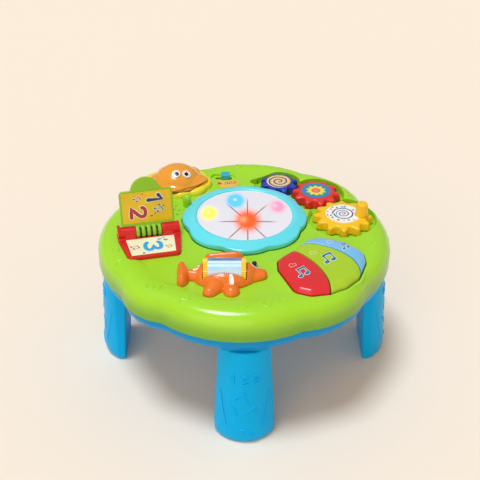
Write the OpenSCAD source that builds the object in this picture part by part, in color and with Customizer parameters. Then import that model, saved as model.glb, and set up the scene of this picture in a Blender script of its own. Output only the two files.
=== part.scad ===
// Musical activity table: a lobed top on four legs, with a press drum, gears, keys,
// a roller fish, a page, a press dome and a mode switch. Origin on the floor at the centre,
// the player's side is -Y.

/* [Table top] */
// Radius of the top at the crests of its lobes
table_r = 148; // [146:1:160]
// How far the outline dips between two lobes
notch_depth = 5.5; // [2:0.5:8]
// Height of the flat deck above the floor
deck_z = 147.5; // [135:0.5:170]
// Height of the rim's crest above the deck
rim_rise = 2; // [1:0.5:4]
// Radius of the rolled rim
rim_r = 16; // [12:1:18]
// Width of the crest and of its slope down to the deck
rim_w = 24; // [20:1:26]
// Height of the green side below the crest
side_h = 27.5; // [24:0.5:34]
// Wall of the moulded shells
wall = 3; // [2:0.1:3.2]

/* [Pan] */
// Height of the blue pan below the seam
pan_h = 15; // [12:0.5:18]
// How far the pan stands back from the green side
pan_inset = 2.5; // [1:0.5:4]
// Radius of the pan's lower edge
pan_r = 9; // [6:1:11]

/* [Legs] */
// Reach of the feet from the centre
foot_reach = 152; // [150:1:160]
// Reach of the leg where it meets the pan
hip_reach = 146; // [142:1:148]
// Width of a leg at the pan
hip_w = 48; // [44:1:54]
// Width of a leg at the foot
foot_w = 58.6; // [54:0.2:64]
// Thickness of a leg
leg_t = 25; // [22:1:27]
// Height of the tenon that plugs into the pan
tenon_h = 12; // [8:1:14]

/* [Drum] */
// Radius of the white lens
lens_r = 49; // [46:0.5:51]
// Radius of the drum at the crests of its lobes
drum_r = 64; // [63:0.5:65]
// Height of the lens above the deck
drum_rise = 8; // [6:0.5:10]
// How far the drum travels when pressed
drum_travel = 2; // [1:0.25:2.25]

/* [Gears] */
// Pitch radius for each tooth
tooth_pitch = 2.445; // [2.42:0.005:2.46]
// Teeth of the yellow gear
yellow_teeth = 12; // [12:1:12]
// Teeth of the red gear
red_teeth = 10; // [10:1:10]
// Teeth of the blue gear
blue_teeth = 8; // [8:1:8]
// Height of a gear
gear_h = 10; // [8:0.5:12]
// Depth of the gear recess below the deck
recess_depth = 7; // [6:0.5:8]
// Diameter of the posts that the gears turn on
gear_post_d = 8; // [7:0.5:9]
// Height of the crank knob
knob_h = 14; // [10:0.5:16]

/* [Keys] */
// Gap round the keys
key_gap = 1.1; // [1:0.1:1.4]
// How far the keys' crown stands above the deck
key_rise = 7.5; // [6:0.5:9]
// Angle a key is pressed through
key_press = 2.5; // [1:0.25:2.5]
// Diameter of the keys' hinge pin
key_pin_d = 3; // [2.5:0.25:3.5]

/* [Fish] */
// Radius of the roller
roller_r = 12.5; // [11.5:0.5:13]
// Length of the roller
roller_l = 40; // [36:1:41]
// Height of the roller's axle above the deck
roller_rise = 6.5; // [6:0.5:8]
// Diameter of the roller's axle
roller_axle_d = 4; // [3:0.5:5]

/* [Book] */
// Length of the book's spine
spine_l = 62; // [60:1:66]
// Radius of the spine's barrels
spine_r = 6.5; // [6:0.25:7]
// Height of the spine's axis above the deck
spine_rise = 6.5; // [6.5:0.25:8]
// Width of the page
page_w = 53; // [48:1:54]
// Length of the page from the spine's axis to its corners
page_l = 43; // [38:1:46]
// Thickness of the page
page_t = 3; // [2.5:0.25:3.5]
// Lean of the page from the vertical at rest
page_lean = 12; // [6:1:16]

/* [Dome] */
// Radius of the press dome
dome_r = 27; // [25:0.5:28]
// Height of the dome above its base
dome_h = 18; // [14:0.5:20]
// Height of the dome's base above the deck
dome_base_h = 6.5; // [5:0.5:8]
// How far the dome travels when pressed
dome_travel = 2; // [1:0.25:2.25]

/* [Switch] */
// Travel of the mode switch each way
switch_travel = 6; // [4:0.5:7]
// Side of the square switch knob
switch_w = 9.5; // [8:0.5:10]
// Height of the switch knob above the deck
switch_rise = 5.5; // [4:0.5:7]

/* [Power and sound] */
// Diameter of a battery cell
cell_d = 14.5; // [14.5:0.1:14.5]
// Length of a battery cell
cell_l = 50.5; // [50.5:0.1:50.5]
// Radius of the speaker
speaker_r = 18; // [16:1:18]

/* [Fits] */
// Radial gap of a running fit
run_gap = 0.05; // [0.03:0.01:0.08]
// Gap between parts that slide past each other or plug together
slip_gap = 0.4; // [0.3:0.05:0.5]
// Radial gap of a screw or pin that is held
hold_gap = 0.02; // [0.01:0.01:0.04]
// Gap between a fixed part and its seat
seat_gap = 0.05; // [0.02:0.01:0.1]
// Diameter of the case screws
screw_d = 3; // [2.6:0.1:3.2]

/* [Hidden] */
$fn = 64;
eps = 0.01;

// heights
crest_z = deck_z + rim_rise;
seam_z = crest_z - side_h;
pan_z = seam_z - pan_h;
floor_in_z = pan_z + wall;
ceiling_z = deck_z - wall;
seat_z = deck_z - 1;

// lobes of the outline, as the angles of the notches between them
notch_angles = [-146, -122, -68, -35, 27, 61, 108, 150];
slope_w = 6;
notch_r = table_r - notch_depth;

function next_notch(i) = i < len(notch_angles) - 1 ? notch_angles[i + 1] : notch_angles[0] + 360;
function lobe_half(i) = (next_notch(i) - notch_angles[i]) / 2;
function lobe_offset(crest, notch, half) =
  (crest * crest - notch * notch) / (2 * (crest - notch * cos(half)));
function turned(p, a) = [p.x * cos(a) - p.y * sin(a), p.x * sin(a) + p.y * cos(a)];
function along(p, a, d) = [p.x + d * cos(a), p.y + d * sin(a)];
function sum_to(v, n) = n < 0 ? 0 : v[n] + sum_to(v, n - 1);

// Reach of the outline at each of its points, as [angle, reach]
function lobe_reach(d, phi) = d * cos(phi) + sqrt(pow(table_r - d, 2) - pow(d * sin(phi), 2));
outline = [for (i = [0 : len(notch_angles) - 1])
  let(half = lobe_half(i), d = lobe_offset(table_r, notch_r, half), n = ceil(half / 3))
    for (k = [0 : n - 1]) let(phi = half * (2 * k / n - 1))
      [notch_angles[i] + half + phi, lobe_reach(d, phi)]];

// A solid whose sides follow the lobed outline through levels of [inset, height]
module lofted(levels) {
  n = len(outline);
  m = len(levels);
  points = [for (l = levels, p = outline)
    [(p.y - l.x) * cos(p.x), (p.y - l.x) * sin(p.x), l.y]];
  sides = [for (j = [0 : m - 2], k = [0 : n - 1], half = [0, 1])
    let(a = j * n + k, b = j * n + (k + 1) % n)
      half == 0 ? [a, a + n, b + n] : [a, b + n, b]];
  polyhedron(points, concat([[for (k = [0 : n - 1]) k]], sides,
    [[for (k = [n - 1 : -1 : 0]) (m - 1) * n + k]]));
}

// Levels of an edge rolled with radius r, ending at the height top
function rolled(inset, top, r, steps) = [for (k = [0 : steps]) let(a = 90 * k / steps)
  [inset + r * (1 - cos(a)), top - r + r * sin(a)]];

// Half section of a disc whose upper edge is rolled
module rolled_section(r, z0, z1, roll) {
  square_z([0, z0], [r - roll, z1]);
  square_z([0, z0], [r, z1 - roll]);
  translate([r - roll, z1 - roll]) circle(roll);
}

module square_z(low, high) {
  translate(low) square([high.x - low.x, high.y - low.y]);
}

module tube(outer, inner, h) {
  difference() {
    cylinder(r = outer, h = h);
    translate([0, 0, -1]) cylinder(r = inner, h = h + 2);
  }
}

module at_all(places, z) {
  for (p = places) translate([p.x, p.y, z]) children();
}

// ---- places ----
post_places = [[24, -116], [-60, -108], [-118, -52], [-112, 62], [-44, 120], [33, 124], [112, 66],
  [122, -31]];
post_r = 4;
pan_boss_r = 5.5;
screw_head_r = screw_d * 0.95;
screw_head_h = 2;
screw_seat_z = pan_z + 8;
screw_l = 15;

drum_place = [0.5, 18];
drum_notch_r = drum_r - 3.5;
drum_lobes = 8;
drum_seat_z = deck_z - 3;
drum_top_z = deck_z + drum_rise;
sleeve_r = 54.8;
sleeve_wall = 2.5;
sleeve_z = pan_z + 24;
hole_r = sleeve_r + slip_gap + 0.2;
pad_z = drum_seat_z - wall;
spring_ring_r = 49.5;
tray_z = pan_z + 13;
tray_t = 2.5;
tray_r = lens_r + 7;
led_board_r = lens_r - 7;
key_board_l = 90;
tray_ear_angles = [0, 120, 240];
tray_ear_r = 61;

yellow_r = yellow_teeth * tooth_pitch;
red_r = red_teeth * tooth_pitch;
blue_r = blue_teeth * tooth_pitch;
addendum = 2.6;
dedendum = 3.5;
red_place = [77.8, 72.8];
to_yellow = -62.7;
to_blue = 152.6;
yellow_place = along(red_place, to_yellow, red_r + yellow_r);
blue_place = along(red_place, to_blue, red_r + blue_r);
gear_places = [yellow_place, red_place, blue_place];
gear_radii = [yellow_r, red_r, blue_r];
gear_floor_z = deck_z - recess_depth;
gear_z = gear_floor_z + 0.5;
gear_top_z = gear_z + gear_h;
gear_rim_gap = 2;
hub_floor = 3.7;
gear_post_r = gear_post_d / 2;
gear_post_top = gear_top_z - hub_floor + 0.3;
washer_t = 0.8;
washer_r = 5.8;
label_t = 0.3;
knob_place = along(yellow_place, -4, 19);
knob_r = 7;

key_pocket = [[31, -58], [31, -76], [45, -111], [60, -116.5], [78, -112.5], [95, -101.5], [108, -86],
  [117, -63], [116, -47], [101, -30], [77, -21], [62, -24], [52, -38], [44, -49]];
key_corner_r = 11;
red_arc = [-3.6, -113];
red_arc_r = 81.9;
green_arc = [55.1, -91.8];
green_arc_r = 55.5;
key_axis_a = 38.8;
key_axis_place = [53.6, -31.2];
key_axis_z = deck_z - 13;
key_skirt_z = deck_z - 9;
key_bottom_z = deck_z - 15;
key_lug_r = key_pin_d / 2 + 2;
key_lugs = [-25.5, -7, 12];
key_lug_w = 9;
key_ribs = [-33, -16, 1, 19.5];
key_arm_l = 13.5;
key_pin_ends = [-35, 21.5];
key_pads = [[58, -84], [80, -66], [100, -48]];
key_board_z = pan_z + 17;
key_board_t = 1.6;
key_pad_top = key_bottom_z;

fish_place = [-19, -82];
fish_h = 17.5;
roller_z = deck_z + roller_rise;
roller_x = [-38.5, -38.5 + roller_l];
roller_y = -82;
roller_gap = 0.7;

book_place = [-95.5, -11.6];
book_a = 13;
spine_z = deck_z + spine_rise;
book_pin_r = 1.5;
knuckle_l = 26;
base_reach = 41;
base_edge_w = 52;
base_h = 3.5;
page_start = spine_r + 1.2;
tab_r = 15;
tab_h = 13;

dome_place = [-73, 92];
dome_base_z = deck_z + dome_base_h;
dome_stem_r = 9.5;
dome_petals = 9;
dome_petal_r = 15;
dome_ring = [23, 16];

switch_place = [-22.5, 108];
switch_slot_l = 2 * switch_travel + 6;
switch_slot_w = 4;
switch_box = [26, 12, 9];
label_place = [-17.5, 95];

green_post = [-60, 47];
green_post_r = 4.5;
green_post_h = 13.6;

speaker_place = [-84, 36];
speaker_h = 17;
grille_rings = [6, 11, 16];

cell_gap = 0.4;
cell_count = 3;
cell_pitch = cell_d + cell_gap;
box_wall = 2;
box_place = [-5, -73];
box_in = [cell_count * cell_pitch + cell_gap, cell_l + 6];
box_out = [box_in.x + 2 * box_wall, box_in.y + 2 * box_wall];
door_t = 2.4;
cell_z = pan_z + door_t + 0.6 + cell_d / 2;
box_top_z = cell_z + cell_d / 2 + 0.5;
door_lip = 3;
door_w = box_in.x + 2 * door_lip;
door_l = box_in.y + 2 * door_lip + 8;
door_shift = 4;
door_screw_place = [box_place.x, box_place.y + door_l / 2 + door_shift - 5];

board_place = [-84, -46.5];
board_size = [50, 38, 1.6];
board_a = 30;
board_z = pan_z + 9;

leg_angles = [-90, 0, 90, 180];
tenon = [36, 15];
tenon_at = hip_reach - leg_t / 2 - 1;

// ---- top shell ----
module key_outline(grow = 0) {
  offset(r = key_corner_r + grow) offset(delta = -key_corner_r) polygon(key_pocket);
}

module gear_pockets(grow, z0, z1) {
  for (i = [0 : 2])
    translate([gear_places[i].x, gear_places[i].y, z0])
      cylinder(r = gear_radii[i] + addendum + gear_rim_gap + grow, h = z1 - z0);
}

// The lips of the gear recess fall away towards the player's side
module gear_lips() {
  for (i = [0 : 2])
    translate([gear_places[i].x - 1.5, gear_places[i].y - 3.8, gear_floor_z])
      cylinder(r1 = gear_radii[i] + addendum + 1, r2 = gear_radii[i] + addendum + 5,
        h = recess_depth + rim_rise + 1);
  hull() {
    translate([12, 99, gear_floor_z]) cylinder(r = 5, h = 12);
    translate([blue_place.x, blue_place.y + 4, gear_floor_z]) cylinder(r = blue_r, h = 12);
  }
}

module drum_lobed(crest, notch, h) {
  half = 180 / drum_lobes;
  d = lobe_offset(crest, notch, half);
  for (i = [0 : drum_lobes - 1])
    rotate(i * 2 * half) translate([d, 0, 0]) cylinder(r = crest - d, h = h);
}

module key_frame() {
  translate([key_axis_place.x, key_axis_place.y, key_axis_z]) rotate(key_axis_a) children();
}

// Turns a cylinder along Z into one along the key hinge, from s0 to s1
module key_rod(r, s0, s1) {
  key_frame() translate([s0, 0, 0]) rotate([0, 90, 0]) cylinder(r = r, h = s1 - s0);
}

module shell_walls() {
  difference() {
    lofted(concat([[0, seam_z]], rolled(0, crest_z, rim_r, 5),
      [[rim_w, crest_z], [rim_w + slope_w, deck_z]]));
    lofted(concat([[wall, seam_z - 1]], rolled(wall, ceiling_z, rim_r - wall, 4)));
  }
}

module shell_inner() {
  // thick rings under the drum and the gears
  translate([drum_place.x, drum_place.y, pad_z]) cylinder(r = drum_r + 4, h = ceiling_z - pad_z + 1);
  gear_pockets(2.5, gear_floor_z - wall, ceiling_z + 0.5);
  translate([12, 99, gear_floor_z - wall]) cylinder(r = 8, h = ceiling_z - gear_floor_z + wall + 0.5);
  // posts that the pan is screwed to
  at_all(post_places, seam_z) cylinder(r = post_r, h = ceiling_z - seam_z + 1);
  // bosses for the light tray
  for (a = tray_ear_angles) translate(concat(along(drum_place, a, tray_ear_r), tray_z + tray_t))
    cylinder(r = post_r, h = pad_z - tray_z - tray_t + 1);
  // skirt round the keys
  translate([0, 0, key_skirt_z]) linear_extrude(deck_z - key_skirt_z - 1) key_outline(2.5);
  // ribs that carry the keys' hinge pin
  for (s = key_ribs) key_frame() translate([s - 1.5, -5, -5]) cube([3, 10, ceiling_z - key_axis_z + 5.5]);
  // bosses for the fish, the book and the dome
  at_all(fish_bosses, ceiling_z - 5) cylinder(r = 3.6, h = 6);
}

fish_bosses = [[-52, -84], [10, -78]];

module top_shell() color("#8CC81E") {
  difference() {
    union() {
      shell_walls();
      shell_inner();
      // raised lip of the key pocket, inside the rim's crest
      intersection() {
        hull() {
          translate([0, 0, deck_z - 1]) linear_extrude(1) key_outline(7);
          translate([0, 0, crest_z - 0.6]) linear_extrude(0.6) key_outline(2.5);
        }
        cylinder(r = table_r - rim_w, h = crest_z + 1);
      }
      // post on the deck
      translate([green_post.x, green_post.y, deck_z - 1]) {
        cylinder(r = green_post_r, h = green_post_h + 1 - green_post_r);
        translate([0, 0, green_post_h + 1 - green_post_r]) sphere(green_post_r);
      }
    }
    // drum
    translate([drum_place.x, drum_place.y, drum_seat_z]) drum_lobed(drum_r + 1.2, drum_notch_r + 1.2, 10);
    translate([drum_place.x, drum_place.y, pad_z - 1]) cylinder(r = hole_r, h = 12);
    // gears
    gear_pockets(0, gear_floor_z, crest_z + 1);
    gear_lips();
    // keys
    translate([0, 0, key_bottom_z - 2]) linear_extrude(40) key_outline();
    key_rod(key_pin_d / 2 + hold_gap, key_pin_ends[0] - 1, key_pin_ends[1] + 1);
    // seats of the book, the dome, the fish and the switch
    translate([0, 0, seat_z]) linear_extrude(8) book_footprint(slip_gap);
    translate([0, 0, seat_z]) dome_petal_ring(slip_gap / 2, 8);
    translate([dome_place.x, dome_place.y, seam_z + 12]) cylinder(r = dome_stem_r + 3, h = 20);
    translate([0, 0, deck_z - seat_gap]) linear_extrude(8) fish_footprint(2);
    roller_pocket();
    at_all(fish_bosses, ceiling_z - 8) cylinder(r = screw_d / 2 + hold_gap, h = 12);
    switch_recess();
    speaker_grille();
    screw_pilots();
  }
  gear_posts();
}

module switch_recess() {
  switch_oval(0, seat_z, 5);
  translate([switch_place.x - switch_slot_l / 2, switch_place.y - switch_slot_w / 2, ceiling_z - 1])
    cube([switch_slot_l, switch_slot_w, 8]);
}

module switch_oval(grow, z, h) {
  translate([switch_place.x, switch_place.y, z]) hull() for (s = [-1, 1])
    translate([s * 8.5, 0, 0]) cylinder(r = 5.5 + grow, h = h);
}

module speaker_grille() {
  for (ring = [0 : len(grille_rings) - 1], i = [0 : 5 + 3 * ring - 1])
    translate([speaker_place.x, speaker_place.y, ceiling_z - 1])
      rotate(i * 360 / (5 + 3 * ring) + 20 * ring) translate([grille_rings[ring] - 1.5, -0.6, 0])
        cube([3, 1.2, 6]);
}

module screw_pilots() {
  at_all(post_places, seam_z - 1) cylinder(r = screw_d / 2 + hold_gap, h = 12);
  for (a = tray_ear_angles) translate(concat(along(drum_place, a, tray_ear_r), tray_z))
    cylinder(r = screw_d / 2 + hold_gap, h = 12);
}

module gear_posts() {
  at_all(gear_places, gear_floor_z - 1) difference() {
    cylinder(r = gear_post_r, h = gear_post_top - gear_floor_z + 1);
    translate([0, 0, 2]) cylinder(r = gear_screw_r + hold_gap, h = 20);
  }
}

// ---- pan ----
module pan_solid(inset, bottom, top, roll) {
  lofted(concat([for (k = [3 : -1 : 0]) let(a = 30 * k)
    [inset + roll * (1 - cos(a)), bottom + roll - roll * sin(a)]], [[inset, top]]));
}

module leg_frame(a) {
  rotate(a) children();
}

module bottom_pan() color("#2FA0E8") {
  difference() {
    union() {
      difference() {
        pan_solid(pan_inset, pan_z, seam_z, pan_r);
        pan_solid(pan_inset + wall, floor_in_z, seam_z + 1, pan_r - wall);
      }
      // sockets for the legs
      for (a = leg_angles) leg_frame(a) translate([tenon_at, 0, floor_in_z - 1])
        block([tenon.y + 2 * wall, tenon.x + 2 * wall, tenon_h + 1]);
      at_all(post_places, floor_in_z - 1) cylinder(r = pan_boss_r, h = seam_z - floor_in_z + 1);
      // battery box
      translate([box_place.x, box_place.y, pan_z + 1])
        block([box_out.x, box_out.y, box_top_z + box_wall - pan_z - 1]);
      translate([door_screw_place.x, door_screw_place.y, pan_z + 1]) cylinder(r = 5, h = 12);
      // pillar under the dome's spring
      translate([dome_place.x, dome_place.y, floor_in_z - 1])
        tube(dome_stem_r + 2, dome_stem_r - 2, seam_z - floor_in_z + 1);
      // posts for the boards
      at_all(board_posts(), floor_in_z - 1) cylinder(r = 3.5, h = board_z - floor_in_z + 1);
      at_all(key_board_posts, floor_in_z - 1) cylinder(r = 3.5, h = key_board_z - floor_in_z + 1);
    }
    for (a = leg_angles) leg_frame(a) translate([tenon_at, 0, pan_z - 1])
      block([tenon.y + 2 * slip_gap, tenon.x + 2 * slip_gap, tenon_h + 1 + 0.6]);
    at_all(post_places, pan_z - 1) {
      cylinder(r = screw_head_r + 0.5, h = screw_seat_z - pan_z + 1);
      cylinder(r = screw_d / 2 + 0.2, h = 40);
    }
    translate([box_place.x, box_place.y, pan_z - 1])
      block([box_in.x, box_in.y, box_top_z - pan_z + 1]);
    translate([box_place.x, box_place.y + door_shift, pan_z - 1])
      block([door_w + slip_gap, door_l + slip_gap, door_t + 1.2]);
    translate([door_screw_place.x, door_screw_place.y, pan_z]) cylinder(r = screw_d / 2 + hold_gap, h = 11);
    at_all(board_posts(), board_z - 7) cylinder(r = small_screw_r + hold_gap, h = 8);
    at_all(key_board_posts, key_board_z - 7) cylinder(r = small_screw_r + hold_gap, h = 8);
  }
}

// A box centred on X and Y that stands on its base
module block(size) {
  translate([-size.x / 2, -size.y / 2, 0]) cube(size);
}

small_screw_r = 1.3;
gear_screw_r = 1.5;
key_board_a = atan2(key_pads[2].y - key_pads[0].y, key_pads[2].x - key_pads[0].x);
key_board_posts = [for (d = [-40, 40]) along(key_pads[1], key_board_a, d)];
function board_posts() = [for (sx = [-1, 1], sy = [-1, 1])
  let(p = turned([sx * (board_size.x / 2 - 4), sy * (board_size.y / 2 - 4)], board_a))
    [board_place.x + p.x, board_place.y + p.y]];

// ---- legs ----
module leg_slice(z, reach, w, t, inset = 0) {
  r = w / 2 + 4;
  translate([0, 0, z]) linear_extrude(0.2) intersection() {
    translate([reach - r, 0]) circle(r - inset);
    translate([reach - t + inset, -w / 2 + inset]) square([t, w - 2 * inset]);
  }
}

function leg_mix(z, low, high) = low + (high - low) * z / pan_z;

module leg_body(inset = 0) {
  top = inset == 0 ? pan_z - 0.2 : pan_z - wall;
  low = inset == 0 ? 0 : -1;
  hull() {
    leg_slice(low, foot_reach - 3 - (inset > 0 ? 0.01 : 0), foot_w - 4, leg_t - 3, inset);
    leg_slice(4, foot_reach - 0.6, foot_w - 0.8, leg_t - 0.6, inset);
    leg_slice(14, foot_reach, foot_w, leg_t, inset);
    leg_slice(top, hip_reach, hip_w, leg_t, inset);
  }
}

module leg(a) {
  color("#12A5F0") leg_frame(a) difference() {
    union() {
      leg_body();
      translate([tenon_at, 0, pan_z - 1]) block([tenon.y, tenon.x, tenon_h + 1]);
    }
    leg_body(wall);
  }
}

// ---- battery parts ----
module battery_door() color("#12A5F0") {
  difference() {
    translate([box_place.x, box_place.y + door_shift, pan_z]) block([door_w, door_l, door_t]);
    translate([door_screw_place.x, door_screw_place.y, pan_z - 1]) {
      cylinder(r = screw_head_r + 0.4, h = 2);
      cylinder(r = screw_d / 2 + 0.2, h = 8);
    }
  }
}

module screw(l, d, head_r, head_h) {
  cylinder(r = d / 2, h = l);
  translate([0, 0, -head_h]) difference() {
    cylinder(r = head_r, h = head_h);
    for (a = [0, 90]) rotate(a) translate([-head_r * 0.6, -0.4, -1]) cube([head_r * 1.2, 0.8, 1 + head_h / 2]);
  }
}

module door_screw() color("silver")
  translate([door_screw_place.x, door_screw_place.y, pan_z + 1]) screw(8, screw_d, screw_head_r, 0.9);

module shell_screws() color("silver")
  at_all(post_places, screw_seat_z) screw(screw_l, screw_d, screw_head_r, screw_head_h);

module batteries() color("#404850") {
  for (i = [0 : cell_count - 1]) {
    side = i % 2 == 0 ? 1 : -1;
    translate([box_place.x + (i - (cell_count - 1) / 2) * cell_pitch, box_place.y, cell_z])
      rotate([-90 * side, 0, 0]) translate([0, 0, -cell_l / 2]) {
        cylinder(d = cell_d, h = cell_l - 1);
        cylinder(d = 5.5, h = cell_l);
      }
  }
}

module battery_contacts() color("silver") {
  for (s = [-1, 1], i = [0 : cell_count - 1])
    translate([box_place.x + (i - (cell_count - 1) / 2) * cell_pitch,
      box_place.y + s * (box_in.y / 2 - 0.25), cell_z]) {
      cube([9, 0.4, 9], center = true);
      rotate([90 * s, 0, 0]) cylinder(r1 = 4, r2 = 2.4, h = box_in.y / 2 - cell_l / 2 - 0.3);
    }
}

// ---- drum ----
module drum_ring() color("#2CC8E0") {
  lens_seat_z = drum_top_z - 3;
  translate([drum_place.x, drum_place.y, 0]) difference() {
    union() {
      intersection() {
        rotate_extrude() difference() {
          union() {
            square_z([lens_r - 2.5, drum_seat_z + drum_travel + 0.5], [drum_r + 1, drum_top_z - 5]);
            translate([lens_r + 3.2, drum_top_z - 5.4]) circle(6);
            polygon([[lens_r + 3.2, drum_top_z - 5.4], [lens_r + 5.5, drum_top_z + 0.1],
              [drum_r - 1.2, drum_top_z - 3.2], [drum_r + 1, drum_top_z - 5]]);
          }
          square_z([0, 0], [lens_r - 2.5, 300]);
          square_z([0, 0], [drum_r * 2, drum_seat_z + drum_travel + 0.5]);
        }
        translate([0, 0, drum_seat_z]) drum_lobed(drum_r, drum_notch_r, 20);
      }
      translate([0, 0, sleeve_z]) tube(sleeve_r, sleeve_r - sleeve_wall, drum_seat_z + 5 - sleeve_z);
      // seats of the springs
      for (a = [45 : 90 : 315]) rotate(a) translate([spring_ring_r, 0, sleeve_z])
        cylinder(r = 4.5, h = drum_seat_z + 4 - sleeve_z);
      // snap tabs that hold the drum down in the shell
      for (a = [60 : 120 : 300]) rotate(a) translate([sleeve_r - 1, -4, pad_z - 3.3])
        cube([3.4, 8, 3]);
    }
    translate([0, 0, lens_seat_z]) cylinder(r = lens_r + 0.15, h = 20);
    translate([0, 0, sleeve_z - 1]) cylinder(r = spring_ring_r - 4.6, h = 40);
  }
}

module drum_lens() color("#F4F4FA") {
  edge = 2;
  crown = 1;
  translate([drum_place.x, drum_place.y, drum_top_z - edge - crown])
    rotate_extrude() polygon(concat([[0, 0], [lens_r, 0]],
      [for (q = [1 : -0.2 : 0.2]) [lens_r * q, edge + crown * (1 - q * q)]], [[0, edge + crown]]));
}

// One unbroken coil of four-sided wire
module coil(r, h, turns, wire) {
  steps = 10;
  n = turns * steps;
  path = [for (i = [0 : n]) let(a = 360 * i / steps)
    [r * cos(a), r * sin(a), wire + (h - 2 * wire) * i / n]];
  ring = [for (i = [0 : n], k = [0 : 3]) let(a = 360 * i / steps, b = 45 + 90 * k)
    [path[i].x + wire * cos(b) * cos(a), path[i].y + wire * cos(b) * sin(a), path[i].z + wire * sin(b)]];
  faces = concat(
    [[3, 2, 1, 0]],
    [for (i = [0 : n - 1], k = [0 : 3]) let(p = 4 * i + k, q = 4 * i + (k + 1) % 4) [p, q, q + 4]],
    [for (i = [0 : n - 1], k = [0 : 3]) let(p = 4 * i + k, q = 4 * i + (k + 1) % 4) [p, q + 4, p + 4]],
    [[4 * n, 4 * n + 1, 4 * n + 2, 4 * n + 3]]);
  polyhedron(ring, faces);
}

module drum_springs() color("silver") {
  for (a = [45 : 90 : 315])
    translate(concat(along(drum_place, a, spring_ring_r), tray_z + tray_t))
      coil(3, sleeve_z - tray_z - tray_t, 3, 0.4);
}

module light_tray() color("white") {
  difference() {
    union() {
      translate([drum_place.x, drum_place.y, tray_z]) cylinder(r = tray_r, h = tray_t);
      for (a = tray_ear_angles) translate(concat(along(drum_place, a, tray_ear_r), tray_z))
        cylinder(r = 6.5, h = tray_t);
      at_all([for (a = [45 : 90 : 315]) along(drum_place, a, 36)], tray_z)
        cylinder(r = 3, h = board_on_tray_z - tray_z);
    }
    for (a = tray_ear_angles) translate(concat(along(drum_place, a, tray_ear_r), tray_z - 1))
      cylinder(r = screw_d / 2 + 0.2, h = 10);
    at_all([for (a = [45 : 90 : 315]) along(drum_place, a, 36)], tray_z - 1)
      cylinder(r = small_screw_r + hold_gap, h = 20);
  }
}

board_on_tray_z = tray_z + tray_t + 2;
led_places = [[-36, 20], [-9, 49], [35, 33], [5, 1]];
led_r = 2.5;

module led_board() color("#2E6E3A")
  translate([drum_place.x, drum_place.y, board_on_tray_z]) difference() {
    cylinder(r = led_board_r, h = 1.6);
    for (a = [45 : 90 : 315]) rotate(a) translate([36, 0, -1]) cylinder(r = small_screw_r + 0.2, h = 4);
  }

module led(i, tint) color(tint)
  translate([led_places[i].x, led_places[i].y, board_on_tray_z + 1.6]) {
    cylinder(r = led_r + 0.4, h = 1);
    cylinder(r = led_r, h = 6);
    translate([0, 0, 6]) sphere(led_r);
  }

// ---- gears ----
function tooth_points(teeth, r, grow) = [for (i = [0 : teeth - 1], k = [0 : 3])
  let(root = k == 0 || k == 3, side = k < 2 ? -1 : 1,
    rad = root ? r - dedendum : r + addendum,
    half = root ? 5.2 : 1.9,
    a = 360 * i / teeth + side * half / rad * 57.3)
  [rad * cos(a), rad * sin(a)]];

// How far a red tooth lags behind the line to the blue gear, as a share of its pitch
red_phase = to_yellow + 180 / red_teeth;
red_lag = to_blue - red_phase - floor((to_blue - red_phase) / (360 / red_teeth)) * 360 / red_teeth;
yellow_phase = to_yellow + 180;
blue_phase = to_blue + 180 + red_lag * red_r / blue_r + 180 / blue_teeth;

module gear(place, teeth, r, phase, label_r) {
  translate([place.x, place.y, gear_z]) difference() {
    union() {
      intersection() {
        rotate(phase) linear_extrude(gear_h, scale = 0.92) polygon(tooth_points(teeth, r));
        rotate_extrude() polygon([[0, -1], [r + addendum + 1, -1], [r + addendum + 1, gear_h - 2.2],
          [label_r + 2, gear_h], [0, gear_h]]);
      }
    }
    translate([0, 0, -1]) cylinder(r = gear_post_r + run_gap, h = gear_h + 2);
    translate([0, 0, gear_h - hub_floor]) cylinder(r = washer_r + slip_gap, h = hub_floor + 1);
    // hollow underside
    translate([0, 0, -1]) tube(r - dedendum - wall, gear_post_r + 2.8, gear_h - hub_floor - 1);
  }
}

module gear_label(place, label_r) {
  translate([place.x, place.y, gear_top_z]) cylinder(r = label_r, h = label_t);
}

yellow_label_r = 18;
red_label_r = 15.7;
blue_label_r = 13.6;

module yellow_gear() color("#FFD030")
  gear(yellow_place, yellow_teeth, yellow_r, yellow_phase, yellow_label_r);
module red_gear() color("#E03A34") gear(red_place, red_teeth, red_r, red_phase, red_label_r);
module blue_gear() color("#2A48B0") gear(blue_place, blue_teeth, blue_r, blue_phase, blue_label_r);

module yellow_gear_label() color("#F8F8F4") difference() {
  gear_label(yellow_place, yellow_label_r);
  translate([knob_place.x, knob_place.y, gear_top_z - 1]) cylinder(r = knob_r + slip_gap, h = 3);
}
module red_gear_label() color("#2890B0") gear_label(red_place, red_label_r);
module blue_gear_label() color("#F0C060") gear_label(blue_place, blue_label_r);

module crank_knob() color("#FFCC20")
  translate([knob_place.x, knob_place.y, gear_top_z]) rotate_extrude() difference() {
    union() {
      polygon([[0, 0], [knob_r, 0], [knob_r - 1.4, knob_h - 1.5], [knob_r - 2.6, knob_h], [0, knob_h]]);
    }
    square_z([-20, -20], [0, 40]);
  }

module gear_washers() color("silver")
  at_all(gear_places, gear_post_top) tube(washer_r, gear_screw_r + 0.2, washer_t);

module gear_screws() color("silver")
  at_all(gear_places, gear_post_top + washer_t) mirror([0, 0, 1])
    screw(gear_h - 3.6, gear_screw_r * 2, 3, 1.6);

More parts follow.
